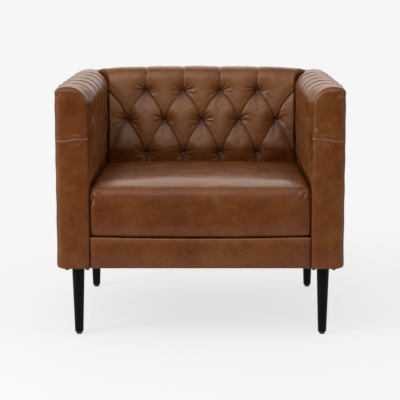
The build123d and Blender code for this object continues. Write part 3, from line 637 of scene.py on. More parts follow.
def profile(depth_of_face, rake, outer):
    """Section of a pad as out, up, direction it faces and distance along it, in five stretches"""
    def steps(length):
        return max(3, int(round(length / SPACING)) + 1)

    face_top = ROLL_CENTRE + ROLL * sin(rake)
    up = np.linspace(PAD_BOTTOM, face_top, steps(face_top - PAD_BOTTOM))
    face = (depth_of_face(up), up, np.full(up.shape, rake), up)
    turn = np.linspace(rake, pi / 2, steps(ROLL * (pi / 2 - rake)))
    centre = face[0][-1] + ROLL * cos(rake)
    roll = (centre - ROLL * np.cos(turn), ROLL_CENTRE + ROLL * np.sin(turn), turn,
            face_top + ROLL * (turn - rake))
    out = np.linspace(centre, outer - EDGE, steps(outer - EDGE - centre))
    top = (out, np.full(out.shape, TOP), np.full(out.shape, pi / 2), roll[3][-1] + out - centre)
    turn = np.linspace(pi / 2, pi, BEND_POINTS)
    bend = (outer - EDGE - EDGE * np.cos(turn), TOP - EDGE + EDGE * np.sin(turn), turn,
            top[3][-1] + EDGE * (turn - pi / 2))
    down = np.linspace(TOP - EDGE, TOP_WRAP, WRAP_POINTS)
    wrap = (np.full(down.shape, outer), down, np.full(down.shape, pi), bend[3][-1] + TOP - EDGE - down)
    return [face, roll, top, bend, wrap]


def joined(stretches):
    """One run of section points from several stretches, with no point twice"""
    columns = zip(*stretches)
    return [np.concatenate([parts[0]] + [part[1:] for part in parts[1:]]) for parts in columns]


def top_share(turn, pillow, fade):
    """Share of the full swell left at a point of the section, by the way it faces"""
    edge_share = 0.25
    least = TOP_CROWN / pillow
    over_edge = edge_share * least
    on_roll = at_least(least, np.abs(np.cos(np.minimum(turn, pi / 2))) ** fade)
    past_edge = over_edge + (least - over_edge) * np.abs(np.sin(turn)) ** 2
    return np.where(turn > pi / 2, past_edge, on_roll)


def facing_up(turn):
    return smooth(radians(50), radians(90), turn)


def between(places):
    return [(a + b) / 2 for a, b in zip(places[:-1], places[1:])]


# Tufted inside back with its top
back_even = [(place - 2) * (INSIDE - CORNER_SPACE) / 2 for place in range(5)]
BACK_TUFTING = Tufting(pillow=BACK_PILLOW, wrinkled=1.15, top_flat=0.65, rows=BACK_ROWS, even=back_even,
                       odd=between(back_even), ends=(-INSIDE, INSIDE))


def back_pad():
    top_crown, top_seam, low_seam, rear_drop = 5.5 * MM, 1.6 * MM, 3 * MM, 0.25
    corner_reach, end_reach, fill_reach, shade_reach = 16 * MM, 12 * MM, 75 * MM, 170 * MM
    seat_least, end_least, fold_least, dimple_least, wrinkle_least = 0.15, 0.5, 0.2, 0.3, 0.4
    low_highlight, high_highlight, corner_highlight_lost, top_highlight_lost, corner_shade = 0.7, 1.35, 0.9, 0.92, 0.42
    within = Vector((0, 0.36, 0.5))
    out, up, turn, s = joined(profile(back_face, RAKE, REAR))
    widths = INSIDE + ROLL * (1 - np.cos(np.clip(turn - RAKE, 0, pi / 2)))
    widths = np.where(turn >= pi / 2, INSIDE + ROLL, widths)
    columns = int(2 * INSIDE / SPACING) + 1
    u = widths[:, None] * np.linspace(-1, 1, columns)
    edge = widths[:, None] - np.abs(u)
    out, up, turn, s = (spread(v, columns) for v in (out, up, turn, s))
    swell, fold, wrinkle, painted_shade, dimple, lip = BACK_TUFTING.heights(u, s, seed=11)
    amount = top_share(turn, BACK_PILLOW, fade=1.3)
    on_top = facing_up(turn)
    # Pillows flatten towards the seat, the corners and the ends of the top
    seat = at_least(seat_least, smooth(SEAT_SEAM - 25 * MM, SEAT_SEAM + 42 * MM, up))
    keep = smooth(0, corner_reach, edge) * (1 - on_top)
    keep += at_least(end_least, smooth(0, end_reach, edge)) * on_top
    keep *= 1 - end_least * on_top * (u / INSIDE) ** 4
    h = swell * amount * seat * keep + top_crown * on_top * (1 - (u / INSIDE) ** 2)
    h += fold * at_least(fold_least, amount) * at_least(dimple_least, dimple)
    h += wrinkle * at_least(wrinkle_least, amount)
    over_roll = np.clip((turn - RAKE) / (pi / 2 - RAKE), 0, 1)
    fill = BACK_TOP_FILL * at_least(CORNER_FILL, smooth(0, fill_reach, edge))
    h += fill * np.sin(pi * over_roll) ** FILL_POWER
    in_seam = bell(edge, SEAM_WIDTH)
    h -= (low_seam + (top_seam - low_seam) * on_top) * in_seam
    # The top slopes a little to the rear
    fall = np.clip((REAR - out) / (REAR - ROLL_START - ROLL), 0, 1)
    h = np.where(turn >= pi / 2, h * ((1 + rear_drop) * fall - rear_drop), h)
    h = np.maximum(h, DEEPEST)
    grid = np.stack([u, out - np.cos(turn) * h, up + np.sin(turn) * h], -1)
    # Painted highlight, stronger higher up the back and weaker over the top and in the lower corners;
    # painted shade in the lower corners and along the seams
    low_corner = smooth(shade_reach, 30 * MM, edge)
    low_corner *= smooth(BACK_ROWS[MIDDLE] + 15 * MM, BACK_ROWS[MIDDLE] - 35 * MM, up)
    high_up = smooth(BACK_ROWS[LOWER] + 40 * MM, BACK_ROWS[UPPER] - 30 * MM, up)
    painted_highlight_share = (low_highlight + (high_highlight - low_highlight) * high_up) * (1 - corner_highlight_lost * low_corner)
    painted_highlight_share *= 1 - top_highlight_lost * smooth(radians(8), radians(45), turn)
    seam_shade = (1 - (1 - SEAM_SHADE) * on_top) * in_seam
    painted_shade = np.maximum(painted_shade * at_least(dimple_least, amount), seam_shade)
    painted_shade = np.maximum(painted_shade, corner_shade * low_corner)
    wear_and_highlight = np.clip(h / BACK_PILLOW, 0, 1) * painted_highlight_share + LIP_HIGHLIGHT * lip
    piece = build_piece("back_tufted_leather", [marked(grid, painted_shade, wear_and_highlight)])
    face_outward(piece, lambda c: c - within)
    return piece


# Tufted inside arm with its top and its padded front
ARM_SPACES = 5
arm_pitch = (back_face(ARM_ROWS[MIDDLE]) - CORNER_SPACE - PAD_FRONT) / ARM_SPACES
arm_even = [PAD_FRONT + place * arm_pitch for place in range(ARM_SPACES + 1)]
ARM_TUFTING = Tufting(pillow=ARM_PILLOW, wrinkled=0.2, top_flat=0.0, rows=ARM_ROWS, even=arm_even,
                      odd=between(arm_even), ends=(PAD_FRONT, back_face(ARM_ROWS[UPPER])))
FRONT_PLEAT = ARM_ROWS[MIDDLE]
REAR_PART = 0.2
REAR_COLUMNS = 60


def front_relief(x, y, z):
    """Pleat across the arm front, puckers under its top seam and the dents of a hand-padded panel"""
    pleat_fall, pleat_wave = 7 * MM, 1.2 * MM
    groove, upper_lip, lower_lip = -2.4 * MM, 1.2 * MM, 2.2 * MM
    fan_height, pucker_height, crown_height, dent_height = 0.9 * MM, 1.5 * MM, 3.0 * MM, 1.1 * MM
    forward = smooth(FRONT + 26 * MM, FRONT + 6 * MM, y)
    from_inside, from_side, below_top = x - INSIDE, SIDE - x, TOP - z
    # The pleat falls outwards: a groove with a lip above it and a fuller one below
    line = FRONT_PLEAT + 3 * MM - pleat_fall * smooth(INSIDE, SIDE, x)
    off = z - (line + pleat_wave * np.sin(x / (9 * MM)))
    pleat = groove * bell(off - 0.8 * MM, 1.8 * MM)
    pleat += upper_lip * bell(off - 5 * MM, 4 * MM) * (0.7 + 0.3 * np.sin(x / (6.5 * MM)))
    pleat += lower_lip * bell(off + 3.6 * MM, 2.8 * MM) * (0.8 + 0.2 * np.sin(x / (5 * MM) + 2))
    pleat *= at_least(0.35, smooth(0, 16 * MM, from_side))
    # Wrinkles fan out from its inner end
    pull = np.hypot(from_inside, (z - FRONT_PLEAT) * 0.8)
    angle = np.arctan2(z - FRONT_PLEAT, from_inside + 6 * MM)
    fan = fan_height * np.sin(9 * angle + 0.6) * bell(pull - 24 * MM, 16 * MM)
    # Puckers hang from the top seam and round its outer corner
    pucker = pucker_height * np.sin(x / (4.2 * MM) + 1.3 * np.sin(x / (11 * MM)))
    pucker *= np.exp(-np.maximum(below_top - 12 * MM, 0) / (11 * MM))
    pucker *= smooth(20 * MM, 45 * MM, from_inside) * smooth(8 * MM, 16 * MM, below_top)
    angle = np.arctan2(below_top, from_side)
    from_corner = np.hypot(from_side, below_top)
    pucker += pucker_height * np.sin(6 * angle + 0.4) * bell(from_corner - 30 * MM, 12 * MM)
    crown = crown_height * smooth(0, 30 * MM, from_inside) * smooth(0, 30 * MM, from_side)
    dents = dent_height * ripple(x, z, 70 * MM, seed=31)
    # Painted shade in the pleat's groove and painted highlight on its lower lip
    painted_shade = forward * 0.5 * bell(off - 1.2 * MM, 1.6 * MM)
    pale = forward * bell(off + 2.2 * MM, 2.0 * MM)
    return forward * (pleat + fan + pucker + dents + crown), painted_shade, pale


def arm_relief(x, y, z, turn, s, tufted=1.0):
    """Distance that the leather stands off the plain shell, with its painted shade and its painted
    highlight and wear
    """
    face_deepest = -1.5 * MM
    seat_least, behind_share, corner_least, outer_least, fold_least = 0.03, 0.45, 0.15, 0.25, 0.3
    corner_reach, seam_reach, outer_reach = 140 * MM, 14 * MM, 34 * MM
    rear_easing, roll_fold, top_crease_lost, pillow_highlight, top_highlight = 0.75, 0.9, 0.65, 0.5, 0.25
    swell, fold, wrinkle, painted_shade, dimple, lip = ARM_TUFTING.heights(y, s, seed=21)
    amount = top_share(turn, ARM_PILLOW, fade=2.0)
    on_face = np.asarray(turn) <= 0.01
    on_top = facing_up(turn)
    on_roll = np.sin(2 * np.clip(turn, 0, pi / 2))
    from_side = SIDE - x
    # Drawn in at the seat, less so towards its rear
    draw_in = at_least(seat_least, smooth(SEAT_SEAM + 2 * MM, SEAT_SEAM + 46 * MM, z))
    behind = behind_share * smooth(0.05, 0.2, y) * smooth(SEAT_SEAM - 40 * MM, SEAT_SEAM, z)
    draw_in = np.where(on_face, at_least(behind, draw_in), 1.0)
    # Flattened towards the back, the front and the outer edge
    edge = back_face(np.minimum(z, ROLL_CENTRE)) - y
    corner = at_least(corner_least, smooth(0, corner_reach, edge)) * smooth(0, seam_reach, edge)
    corner = corner * (1 - on_top) + on_top
    ease = smooth(FRONT + 8 * MM, FRONT + 62 * MM, y)
    ease *= 1 - rear_easing * on_top * smooth(0.20, 0.345, y)
    outward = np.where(turn >= pi / 2, at_least(outer_least, smooth(0, outer_reach, from_side)), 1.0)
    h = tufted * ease * swell * amount * corner * draw_in * outward
    fold = fold * (at_least(0.55, amount) + roll_fold * on_roll) * at_least(fold_least, dimple)
    fold_share = tufted * smooth(FRONT + 4 * MM, FRONT + 30 * MM, y) * draw_in
    h += fold_share * (fold + wrinkle * at_least(fold_least, amount))
    h = np.maximum(h, np.where(on_face, face_deepest, DEEPEST))
    h += CORNER_FILL * BACK_TOP_FILL * on_roll ** FILL_POWER * smooth(0.14, 0.27, y)
    extra, front_painted_shade, pale = front_relief(x, y, z)
    # Painted shade in the pleats and tufts, less near the outer side, the front and on the top; painted
    # highlight, partly also wear, on the pillow crowns, the top and the pleat lips
    painted_shade = painted_shade * smooth(0, 30 * MM, from_side) * smooth(FRONT, FRONT + 20 * MM, y)
    painted_shade *= 1 - top_crease_lost * on_top
    wear_and_highlight = pillow_highlight * np.clip(h / ARM_PILLOW, 0, 1) + top_highlight * on_top
    wear_and_highlight += LIP_HIGHLIGHT * lip * tufted + pale
    return h + extra, np.maximum(tufted * painted_shade, front_painted_shade), wear_and_highlight


def arm_sweep(out, up, turn, s):
    """Face, roll and top, from the front edge to the corner seam, round the rear corner on the top"""
    seam_depth = 1.6 * MM
    seam_x = INSIDE + ROLL
    straight = CORNER_CENTRE - REAR_PART
    near = np.linspace(FRONT + EDGE, REAR_PART, int((REAR_PART - FRONT - EDGE) / SPACING) + 1)
    far = np.linspace(0, 1, REAR_COLUMNS)[1:]
    x = spread(out, len(near) + len(far))
    y = np.zeros_like(x)
    y[:, :len(near)] = near
    for place, tilt in enumerate(turn):
        if tilt < pi / 2 - TINY:
            end = back_face(up[place])
            if tilt > 0:
                end = ROLL_START + ROLL * (cos(RAKE) - cos(max(tilt, RAKE)))
            end += (CORNER_CENTRE - ROLL_START - ROLL) * (tilt / (pi / 2)) ** 3
            y[place, len(near):] = REAR_PART + far * (end - REAR_PART)
        else:
            radius = max(out[place] - CORNER_START, 0.1 * MM)
            sweep = acos(min(1.0, (seam_x - CORNER_START) / radius))
            gone = far * (straight + radius * sweep)
            angle = np.maximum(gone - straight, 0) / radius
            round_x = CORNER_START + radius * np.cos(angle)
            round_y = CORNER_CENTRE + radius * np.sin(angle)
            x[place, len(near):] = np.where(gone < straight, out[place], round_x)
            y[place, len(near):] = np.where(gone < straight, REAR_PART + gone, round_y)
    z, tilt, along = (spread(v, x.shape[1]) for v in (up, turn, s))
    past = np.where(tilt >= pi / 2, np.maximum(y - CORNER_CENTRE, 0), 0)
    spin = np.arctan2(past, np.maximum(x - CORNER_START, MM / 1000))
    h, painted_shade, wear_and_highlight = arm_relief(x, y, z, tilt, along)
    # Painted shade along the corner seam on the top
    in_seam = bell(x - seam_x, SEAM_WIDTH) * (y >= CORNER_CENTRE)
    h -= seam_depth * in_seam * (tilt >= pi / 2)
    level = -np.cos(tilt)
    grid = np.stack([x + level * np.cos(spin) * h,
                     y + np.where(tilt > pi / 2, level * np.sin(spin) * h, 0),
                     z + np.sin(tilt) * h], -1)
    return marked(grid, np.maximum(painted_shade, SEAM_SHADE * in_seam), wear_and_highlight)


def front_edge(section, turns):
    """Edge of the front: the arm's section turned in by the edge radius, and where that ends"""
    seam_depth = 2.0 * MM
    out, up, tilt, s = (spread(v, len(turns)) for v in section)
    side, ahead = np.cos(turns), np.sin(turns)
    x = out + np.cos(tilt) * EDGE * (1 - side)
    z = up - np.sin(tilt) * EDGE * (1 - side)
    y = stacked(FRONT + EDGE - EDGE * ahead, len(out))
    h, painted_shade, wear_and_highlight = arm_relief(x, y, z, tilt, s)
    # Painted shade along the seam on the turned edge
    seam = bell(turns - SEAM_TURN, SEAM_SPREAD) * smooth(radians(55), radians(88), tilt)
    h += OUTER_PAD * (side * smooth(pi / 2, pi, tilt)) ** 2 - seam_depth * seam
    grid = np.stack([x - np.cos(tilt) * side * h, y - ahead * h, z + np.sin(tilt) * side * h], -1)
    return marked(grid, np.maximum(painted_shade, SEAM_SHADE * seam), wear_and_highlight), x[:, -1], z[:, -1]


def arm_front(stretches):
    """Padded front with the edges that turn back from it"""
    outer_seam_depth, tucked = 0.8 * MM, -2.5 * MM
    low = np.linspace(UNDERSIDE, PAD_BOTTOM, int((PAD_BOTTOM - UNDERSIDE) / SPACING) + 1)[:-1]
    below_pad = (np.full(low.shape, INSIDE), low, np.zeros(low.shape), low)
    inside = [np.concatenate(parts) for parts in zip(below_pad, joined(stretches[:2]))]
    turns = np.linspace(0, pi / 2, EDGE_POINTS)
    inside_edge, left_x, left_z = front_edge(inside, turns)
    top_edge, top_x, _ = front_edge(stretches[2], turns)
    side_edge, _, _ = front_edge(joined(stretches[3:]), turns)

    across = (top_x - top_x[0]) / (top_x[-1] - top_x[0])
    lift = BOTTOM_ROUND - np.minimum(left_z - UNDERSIDE, BOTTOM_ROUND)
    tuck = BOTTOM_ROUND - np.sqrt(np.maximum(BOTTOM_ROUND ** 2 - lift ** 2, 0))
    right_x = SIDE - EDGE - tuck
    x = left_x[:, None] + (right_x - left_x)[:, None] * across
    y, z = np.full(x.shape, FRONT), spread(left_z, len(across))
    h, painted_shade, wear_and_highlight = arm_relief(x, y, z, 0.0, z, tufted=0.0)
    face = marked(np.stack([x, y - h, z], -1), painted_shade, wear_and_highlight)

    # Outer edge, turned back to the seam of the outside panel
    bend = np.append(turns, pi / 2)
    side, ahead = np.sin(bend), np.cos(bend)
    x, z = right_x[:, None] + EDGE * side, spread(left_z, len(bend))
    y = stacked(FRONT + EDGE * (1 - ahead), len(right_x))
    y[:, -1] += RETURN
    h, painted_shade, wear_and_highlight = arm_relief(x, y, z, pi, z, tufted=0.0)
    # Painted shade along the outer seam, and full painted shade on the tucked return
    seam = bell(bend - (pi / 2 - SEAM_TURN), SEAM_SPREAD)
    h += OUTER_PAD * side ** 2 - outer_seam_depth * seam
    painted_shade = np.maximum(painted_shade, 0.5 * SEAM_SHADE * seam)
    h[:, -1], painted_shade[:, -1] = tucked, 1
    below = left_z <= TOP_WRAP + TINY
    outer = marked(np.stack([x + side * h, y - ahead * h, z], -1)[below], painted_shade[below], wear_and_highlight[below])

    # Inner edge below the pad, turned back beside the front border
    lowest = len(low) + 1
    x, z = (spread(v[:lowest], 2) for v in inside[:2])
    y = stacked(np.array([FRONT + EDGE, FRONT + EDGE + RETURN]), lowest)
    h, painted_shade, wear_and_highlight = arm_relief(x, y, z, 0.0, z)
    inner = marked(np.stack([x - h, y, z], -1), painted_shade, wear_and_highlight)
    return [flipped(part) for part in (inside_edge, top_edge, side_edge, face, outer)] + [inner]


def arm_pad():
    stretches = profile(lambda up: np.full(np.shape(up), INSIDE), 0.0, SIDE)
    grids = [arm_sweep(*joined(stretches))] + arm_front(stretches)
    piece = build_piece("arm_tufted_leather_right", grids)
    even_normals(piece)
    face_outward(piece, lambda c: c - Vector((0.37, min(max(c.y, -0.3), 0.3), 0.5)))
    return piece


back = back_pad()
arm_right = arm_pad()
arm_left = mirrored_piece(arm_right, "arm_tufted_leather_left")


# Loose seat cushion: a rounded box blown up as cloth, then held to its place
def cushion_shape():
    low, high = CUSHION_BOX
    half_depth, half_height = (high.y - low.y) / 2, (SEAT_SEAM - low.z) / 2
    inner = np.array((high.x - 1 * MM, half_depth - SLACK, half_height - SLACK / 2))
    middle = np.array((0.0, (low.y + high.y) / 2, (SEAT_SEAM + low.z - SLACK) / 2))
    work = bmesh.new()
    bmesh.ops.create_cube(work, size=2.0)
    bmesh.ops.subdivide_edges(work, edges=work.edges[:], cuts=CUSHION_CUTS, use_grid_fill=True)
    for v in work.verts:
        flat = np.array(v.co)[:2]
        reach = max(abs(flat))
        edge = flat / reach * inner[:2]
        corner = CUSHION_CORNER * (0.5 + 0.8 * smooth(0.0, 0.9, v.co.z))
        core = np.clip(edge, -(inner[:2] - corner), inner[:2] - corner)
        away = (edge - core) / max(np.linalg.norm(edge - core), TINY)
        round_edge = CUSHION_TOP_EDGE if v.co.z > 0 else CUSHION_LOW_EDGE
        up = v.co.z * inner[2]
        past = max(0.0, abs(up) - inner[2] + round_edge)
        inset = round_edge - (round_edge ** 2 - past ** 2) ** 0.5
        v.co = (*((core + away * (corner - inset)) * reach + middle[:2]), up + middle[2])
    mesh = bpy.data.meshes.new("seat_cushion_leather")
    work.to_mesh(mesh)
    work.free()
    return mesh, middle


def evened(mesh, points, passes):
    """Moves each point towards the middle of its neighbours, so that no step of the mesh shows"""
    ends = np.zeros(len(mesh.edges) * 2, np.int32)
    mesh.edges.foreach_get("vertices", ends)
    a, b = ends.reshape(-1, 2).T
    count = np.bincount(ends, minlength=len(points))[:, None]
    for _ in range(passes):
        total = np.zeros_like(points)
        np.add.at(total, a, points[b])
        np.add.at(total, b, points[a])
        points = (points + total / count) / 2
    return points


def swell_cushion(piece, middle):
    """Blows the cushion up as cloth, and keeps the outward part of how far it moved"""
    start = read_points(piece.data)
    cloth = piece.modifiers.new("filling", "CLOTH")
    cloth.settings.use_pressure = True
    cloth.settings.uniform_pressure_force = 4.0
    cloth.settings.effector_weights.gravity = 0.0
    cloth.settings.quality = 4
    cloth.settings.tension_stiffness = 25
    cloth.settings.compression_stiffness = 25
    cloth.settings.bending_stiffness = 2.0
    for step in range(1, SWELL_FRAMES + 1):
        bpy.context.scene.frame_set(step)
    bake(piece)
    bpy.context.scene.frame_set(1)
    moved = read_points(piece.data) - start
    length = np.linalg.norm(moved, axis=1, keepdims=True)
    moved *= np.minimum(1, SWELL_LIMIT / np.maximum(length, TINY))
    moved = np.where(moved * np.sign(start - middle) > 0, moved, 0)
    write_points(piece.data, start + evened(piece.data, moved, 60))


def dress_cushion(points, middle):
    """Crown, drawn seams and puckers of the filled cushion"""
    front_rise, front_drop, corner_press, wave = 10 * MM, 8 * MM, 4 * MM, 0.9 * MM
    front_swell, set_back, pucker_height = 4 * MM, 2 * MM, 4.6 * MM
    side_gap, front_widening = 0.3 * MM, 4 * MM
    low, high = CUSHION_BOX
    x, y, z = points.T
    across = x / high.x
    along = (y - middle[1]) / ((high.y - low.y) / 2)
    # Crowned top that rolls over at the front and is pressed down in the rear corners
    above = smooth(SEAT_SEAM - 75 * MM, SEAT_SEAM - 6 * MM, z)
    wanted = CUSHION_CROWN * (1 - across ** 2 * 0.6) * (1 - along ** 2)
    wanted += front_rise * smooth(0.1, -0.7, along)
    wanted -= front_drop * (np.maximum(-along - 0.72, 0) / 0.28) ** 2
    wanted -= corner_press * smooth(0.6, 1, along) * smooth(0.65, 1, np.abs(across))
    z = z + above * (CUSHION_FOOT + wanted - SEAT_SEAM + wave * ripple(x, y, 120 * MM, seed=41))
    # Full front with puckers at its upper corners
    ahead = smooth(low.y + 30 * MM, low.y + 8 * MM, y)
    bulge = np.sin(pi * np.clip((z - low.z) / (SEAT_SEAM - low.z), 0, 1))
    full = front_swell * bulge * (1 - across ** 4) - set_back
    y = y - ahead * (full + wave * ripple(x, z, 90 * MM, seed=43))
    in_from_side, below_seam = high.x - np.abs(x), SEAT_SEAM - 8 * MM - z
    reach = np.hypot(in_from_side, below_seam)
    angle = np.arctan2(below_seam, in_from_side) + 0.3 * np.sin(reach / (11 * MM))
    pucker = np.sin(9 * angle + np.where(x > 0, 0.5, 1.8)) * bell(reach - 20 * MM, 17 * MM)
    y = y + ahead * pucker_height * pucker
    # Sides close to the arms, closest at the front
    x = x * (high.x - side_gap) / np.abs(x).max()
    x = x * (1 + front_widening / high.x * smooth(low.y + 70 * MM, low.y + 12 * MM, y))
    return np.stack([x, y, z], -1)


def settle(points):
    """Keeps the swollen cushion on the deck and between the arms and the back"""
    low, high = CUSHION_BOX
    above_border = 0.6 * MM
    x, y, z = points.T
    x, y = np.clip(x, -high.x, high.x), np.clip(y, low.y, high.y)
    over_border = smooth(PAD_FRONT + 2 * MM, PAD_FRONT - 6 * MM, y)
    sag = over_border * (BORDER_LIFT - BORDER_DIP * (1 - (x / INSIDE) ** 2) + above_border)
    low_down = smooth(low.z + 40 * MM, low.z + 6 * MM, z)
    return np.stack([x, y, np.maximum(z + sag * low_down, low.z + sag)], -1)


def seat_cushion():
    mesh, middle = cushion_shape()
    piece = show("seat_cushion_leather", mesh)
    remesh = piece.modifiers.new("even_mesh", "REMESH")
    remesh.mode = "VOXEL"
    remesh.voxel_size = CUSHION_VOXEL
    bake(piece)
    swell_cushion(piece, middle)
    points = evened(piece.data, read_points(piece.data), 3)
    write_points(piece.data, settle(dress_cushion(points, middle)))
    finer = piece.modifiers.new("finer", "SUBSURF")
    finer.levels = finer.render_levels = 1
    bake(piece)
    shade_smooth(piece.data)
    return piece


cushion = seat_cushion()


# Padded border below the cushion: its top edge dips in the middle, where the cushion is fullest
def front_border():
    low, high = BORDER_BOX
    round_top, round_low = 3.5 * MM, 4 * MM
    wave, fullness, end_tuck, end_wrinkle = 1.4 * MM, 2.0 * MM, 3 * MM, 0.8 * MM
    columns = int((high.x - low.x) / SPACING / 1.5)

    def rounded(centre, radius, first, last):
        turns = np.linspace(first, last, 7)
        return [(low.y + radius - radius * cos(t), centre + radius * sin(t), t) for t in turns]

    section = [(high.y, high.z, pi / 2)]
    section += rounded(high.z - round_top, round_top, pi / 2, 0)
    section += [(low.y, z, 0.0) for z in np.linspace(high.z - round_top, low.z + round_low, 26)[1:-1]]
    section += rounded(low.z + round_low, round_low, 0, -pi / 2)
    section += [(high.y, low.z, -pi / 2), (high.y, high.z, pi / 2)]
    y, z, turn = (spread(np.array(v), columns) for v in zip(*section))
    x = stacked(np.linspace(low.x, high.x, columns), len(section))
    share = (z - low.z) / (high.z - low.z)
    dip = (BORDER_LIFT - BORDER_DIP * (1 - (x / high.x) ** 2)) * share ** 2
    from_end = high.x - np.abs(x)
    ends = smooth(0, 14 * MM, from_end)
    relief = wave * ripple(x, z, 75 * MM, seed=51)
    relief += fullness * np.sin(pi * share) * ends - end_tuck * (1 - ends)
    relief += end_wrinkle * np.sin(z / (7 * MM)) * (1 - smooth(0, 40 * MM, from_end))
    relief = np.where(y > low.y + 12 * MM, 0, relief) * smooth(0, 14 * MM, z - low.z)
    relief *= 1 - 0.8 * smooth(high.z - 16 * MM, high.z - 4 * MM, z)
    grid = np.stack([x, y - np.cos(turn) * relief, z + dip + np.sin(turn) * relief], -1)
    # Painted shade at the tucked ends, and painted highlight along the top edge
    marks = bell(from_end, SEAM_WIDTH), 0.7 * bell(z - high.z, 9 * MM)
    piece = build_piece("front_border_leather", [marked(grid, *marks)])
    with edited(piece.data) as work:
        bmesh.ops.holes_fill(work, edges=[e for e in work.edges if e.is_boundary], sides=0)
    even_normals(piece)
    middle = (low + high) / 2
    face_outward(piece, lambda c: c - Vector((c.x * 0.98, middle.y, middle.z)))
    return piece


border = front_border()


# Outside panels: leather over a thin backing, tucked in along every edge
def panel_shell(name, path, normals, seed):
    """Panel swept along a plan path, from the underside to the edge of the top"""
    low, high = UNDERSIDE, TOP_WRAP
    wave, fullness, pucker = 0.8 * MM, 1.0 * MM, 0.5 * MM
    edge_tuck, tucked_under = 3.2 * MM, 20 * MM
    path, normals = np.array(path), np.array(normals)
    lengths = np.concatenate([[0], np.cumsum(np.hypot(*np.diff(path, axis=0).T))])
    rise = np.linspace(low + BOTTOM_ROUND, high, int((high - low) / PANEL_SPACING))[1:]
    section = [(low, tucked_under)]
    section += [(low + BOTTOM_ROUND * (1 + sin(t)), BOTTOM_ROUND * (1 - cos(t)))
                for t in np.linspace(-pi / 2, 0, 6)]
    section += [(z, 0.0) for z in rise]
    z, inset = (spread(np.array(v), len(path)) for v in zip(*section))
    along = stacked(lengths, len(section))
    edge = np.minimum(np.minimum(along, lengths[-1] - along), np.maximum(high - z, 0))
    relief = wave * ripple(along, z, 130 * MM, seed) + fullness * smooth(0, 40 * MM, edge)
    relief -= edge_tuck * bell(edge, 3.2 * MM)
    puckered = np.sin(along / (6 * MM) + np.sin(along / (31 * MM)) * 2)
    relief += pucker * puckered * bell(high - z, 22 * MM)
    relief = relief * smooth(low + 1 * MM, low + 14 * MM, z) - inset
    x, y = (path[:, axis] + normals[:, axis] * relief for axis in (0, 1))
    # Painted shade along the tucked edges, and painted highlight away from them
    painted_shade, wear_and_highlight = bell(edge, 3.6 * MM), 0.35 * smooth(0, 50 * MM, edge)
    return build_piece(name, [marked(np.stack([x, y, z], -1), painted_shade, wear_and_highlight)])


def outside_arm():
    straight = np.arange(FRONT + EDGE + RETURN, CORNER_CENTRE, PANEL_SPACING)
    angle = np.linspace(0, pi / 2, 24)
    turned = [(cos(a), sin(a)) for a in angle]
    path = [(SIDE, y) for y in straight]
    path += [(CORNER_START + REAR_CORNER * x, CORNER_CENTRE + REAR_CORNER * y) for x, y in turned]
    normals = [(1.0, 0.0) for _ in straight] + turned
    piece = panel_shell("outside_arm_leather_right", path, normals, seed=61)
    face_outward(piece, lambda c: c - Vector((0.2, min(c.y, 0.3), 0.5)))
    return piece


def outside_back():
    path = [(x, REAR) for x in np.linspace(CORNER_START, -CORNER_START, 170)]
    piece = panel_shell("outside_back_leather", path, [(0.0, 1.0)] * len(path), seed=67)
    face_outward(piece, lambda c: Vector((0, 1, 0)))
    return piece


panel_right = outside_arm()
panel_left = mirrored_piece(panel_right, "outside_arm_leather_left")
panel_back = outside_back()


# Deck under the cushion and dust cloth under the seat: flat sheets, a little slack
def flat_sheet(name, box, top, sag, material, facing, openings=()):
    low, high = box
    wave = 0.25 * MM
    columns, rows = (int((high[axis] - low[axis]) / SHEET_SPACING) for axis in (0, 1))
    x, y = np.meshgrid(np.linspace(low.x, high.x, columns), np.linspace(low.y, high.y, rows))
    past_x, past_y = np.maximum(np.abs(x) - CORNER_START, 0), np.maximum(y - CORNER_CENTRE, 0)
    draw_in = np.minimum(1, CLOTH_CORNER / np.maximum(np.hypot(past_x, past_y), TINY))
    x = x - np.sign(x) * past_x * (1 - draw_in)
    y = y - past_y * (1 - draw_in)
    span = np.sin(pi * (x - low.x) / (high.x - low.x)) * np.sin(pi * (y - low.y) / (high.y - low.y))
    z = top - sag * np.sqrt(np.maximum(span, 0)) + wave * ripple(x, y, 140 * MM, seed=71) * span
    piece = build_piece(name, [(np.stack([x, y, z], -1), {})], material)

    def open_at(centre):
        return any(max(abs(centre.x - a), abs(centre.y - b)) < PLATE_HALF for a, b in openings)

    with edited(piece.data) as work:
        gone = [f for f in work.faces if open_at(f.calc_center_median())]
        bmesh.ops.delete(work, geom=gone, context="FACES")
    face_outward(piece, lambda c: facing)
    return piece


UPWARDS = Vector((0, 0, 1))
plate_places = [(sx * (PLATE_BOX[1].x - PLATE_HALF), sy * (PLATE_BOX[1].y - PLATE_HALF))
                for sx in (-1, 1) for sy in (-1, 1)]
deck = flat_sheet("deck_cloth", DECK_BOX, DECK_TOP - 0.4 * MM, 2.5 * MM, DECK_CLOTH, UPWARDS)
dust = flat_sheet("dust_cloth", DUST_BOX, UNDERSIDE + 0.5 * MM, 2.0 * MM, DUST_CLOTH, -UPWARDS,
                  plate_places)
thicken(deck, DECK_THICK)
thicken(dust, DUST_THICK)
for shell in (back, arm_right, arm_left, panel_right, panel_left, panel_back):
    thicken(shell, LEATHER_THICK)


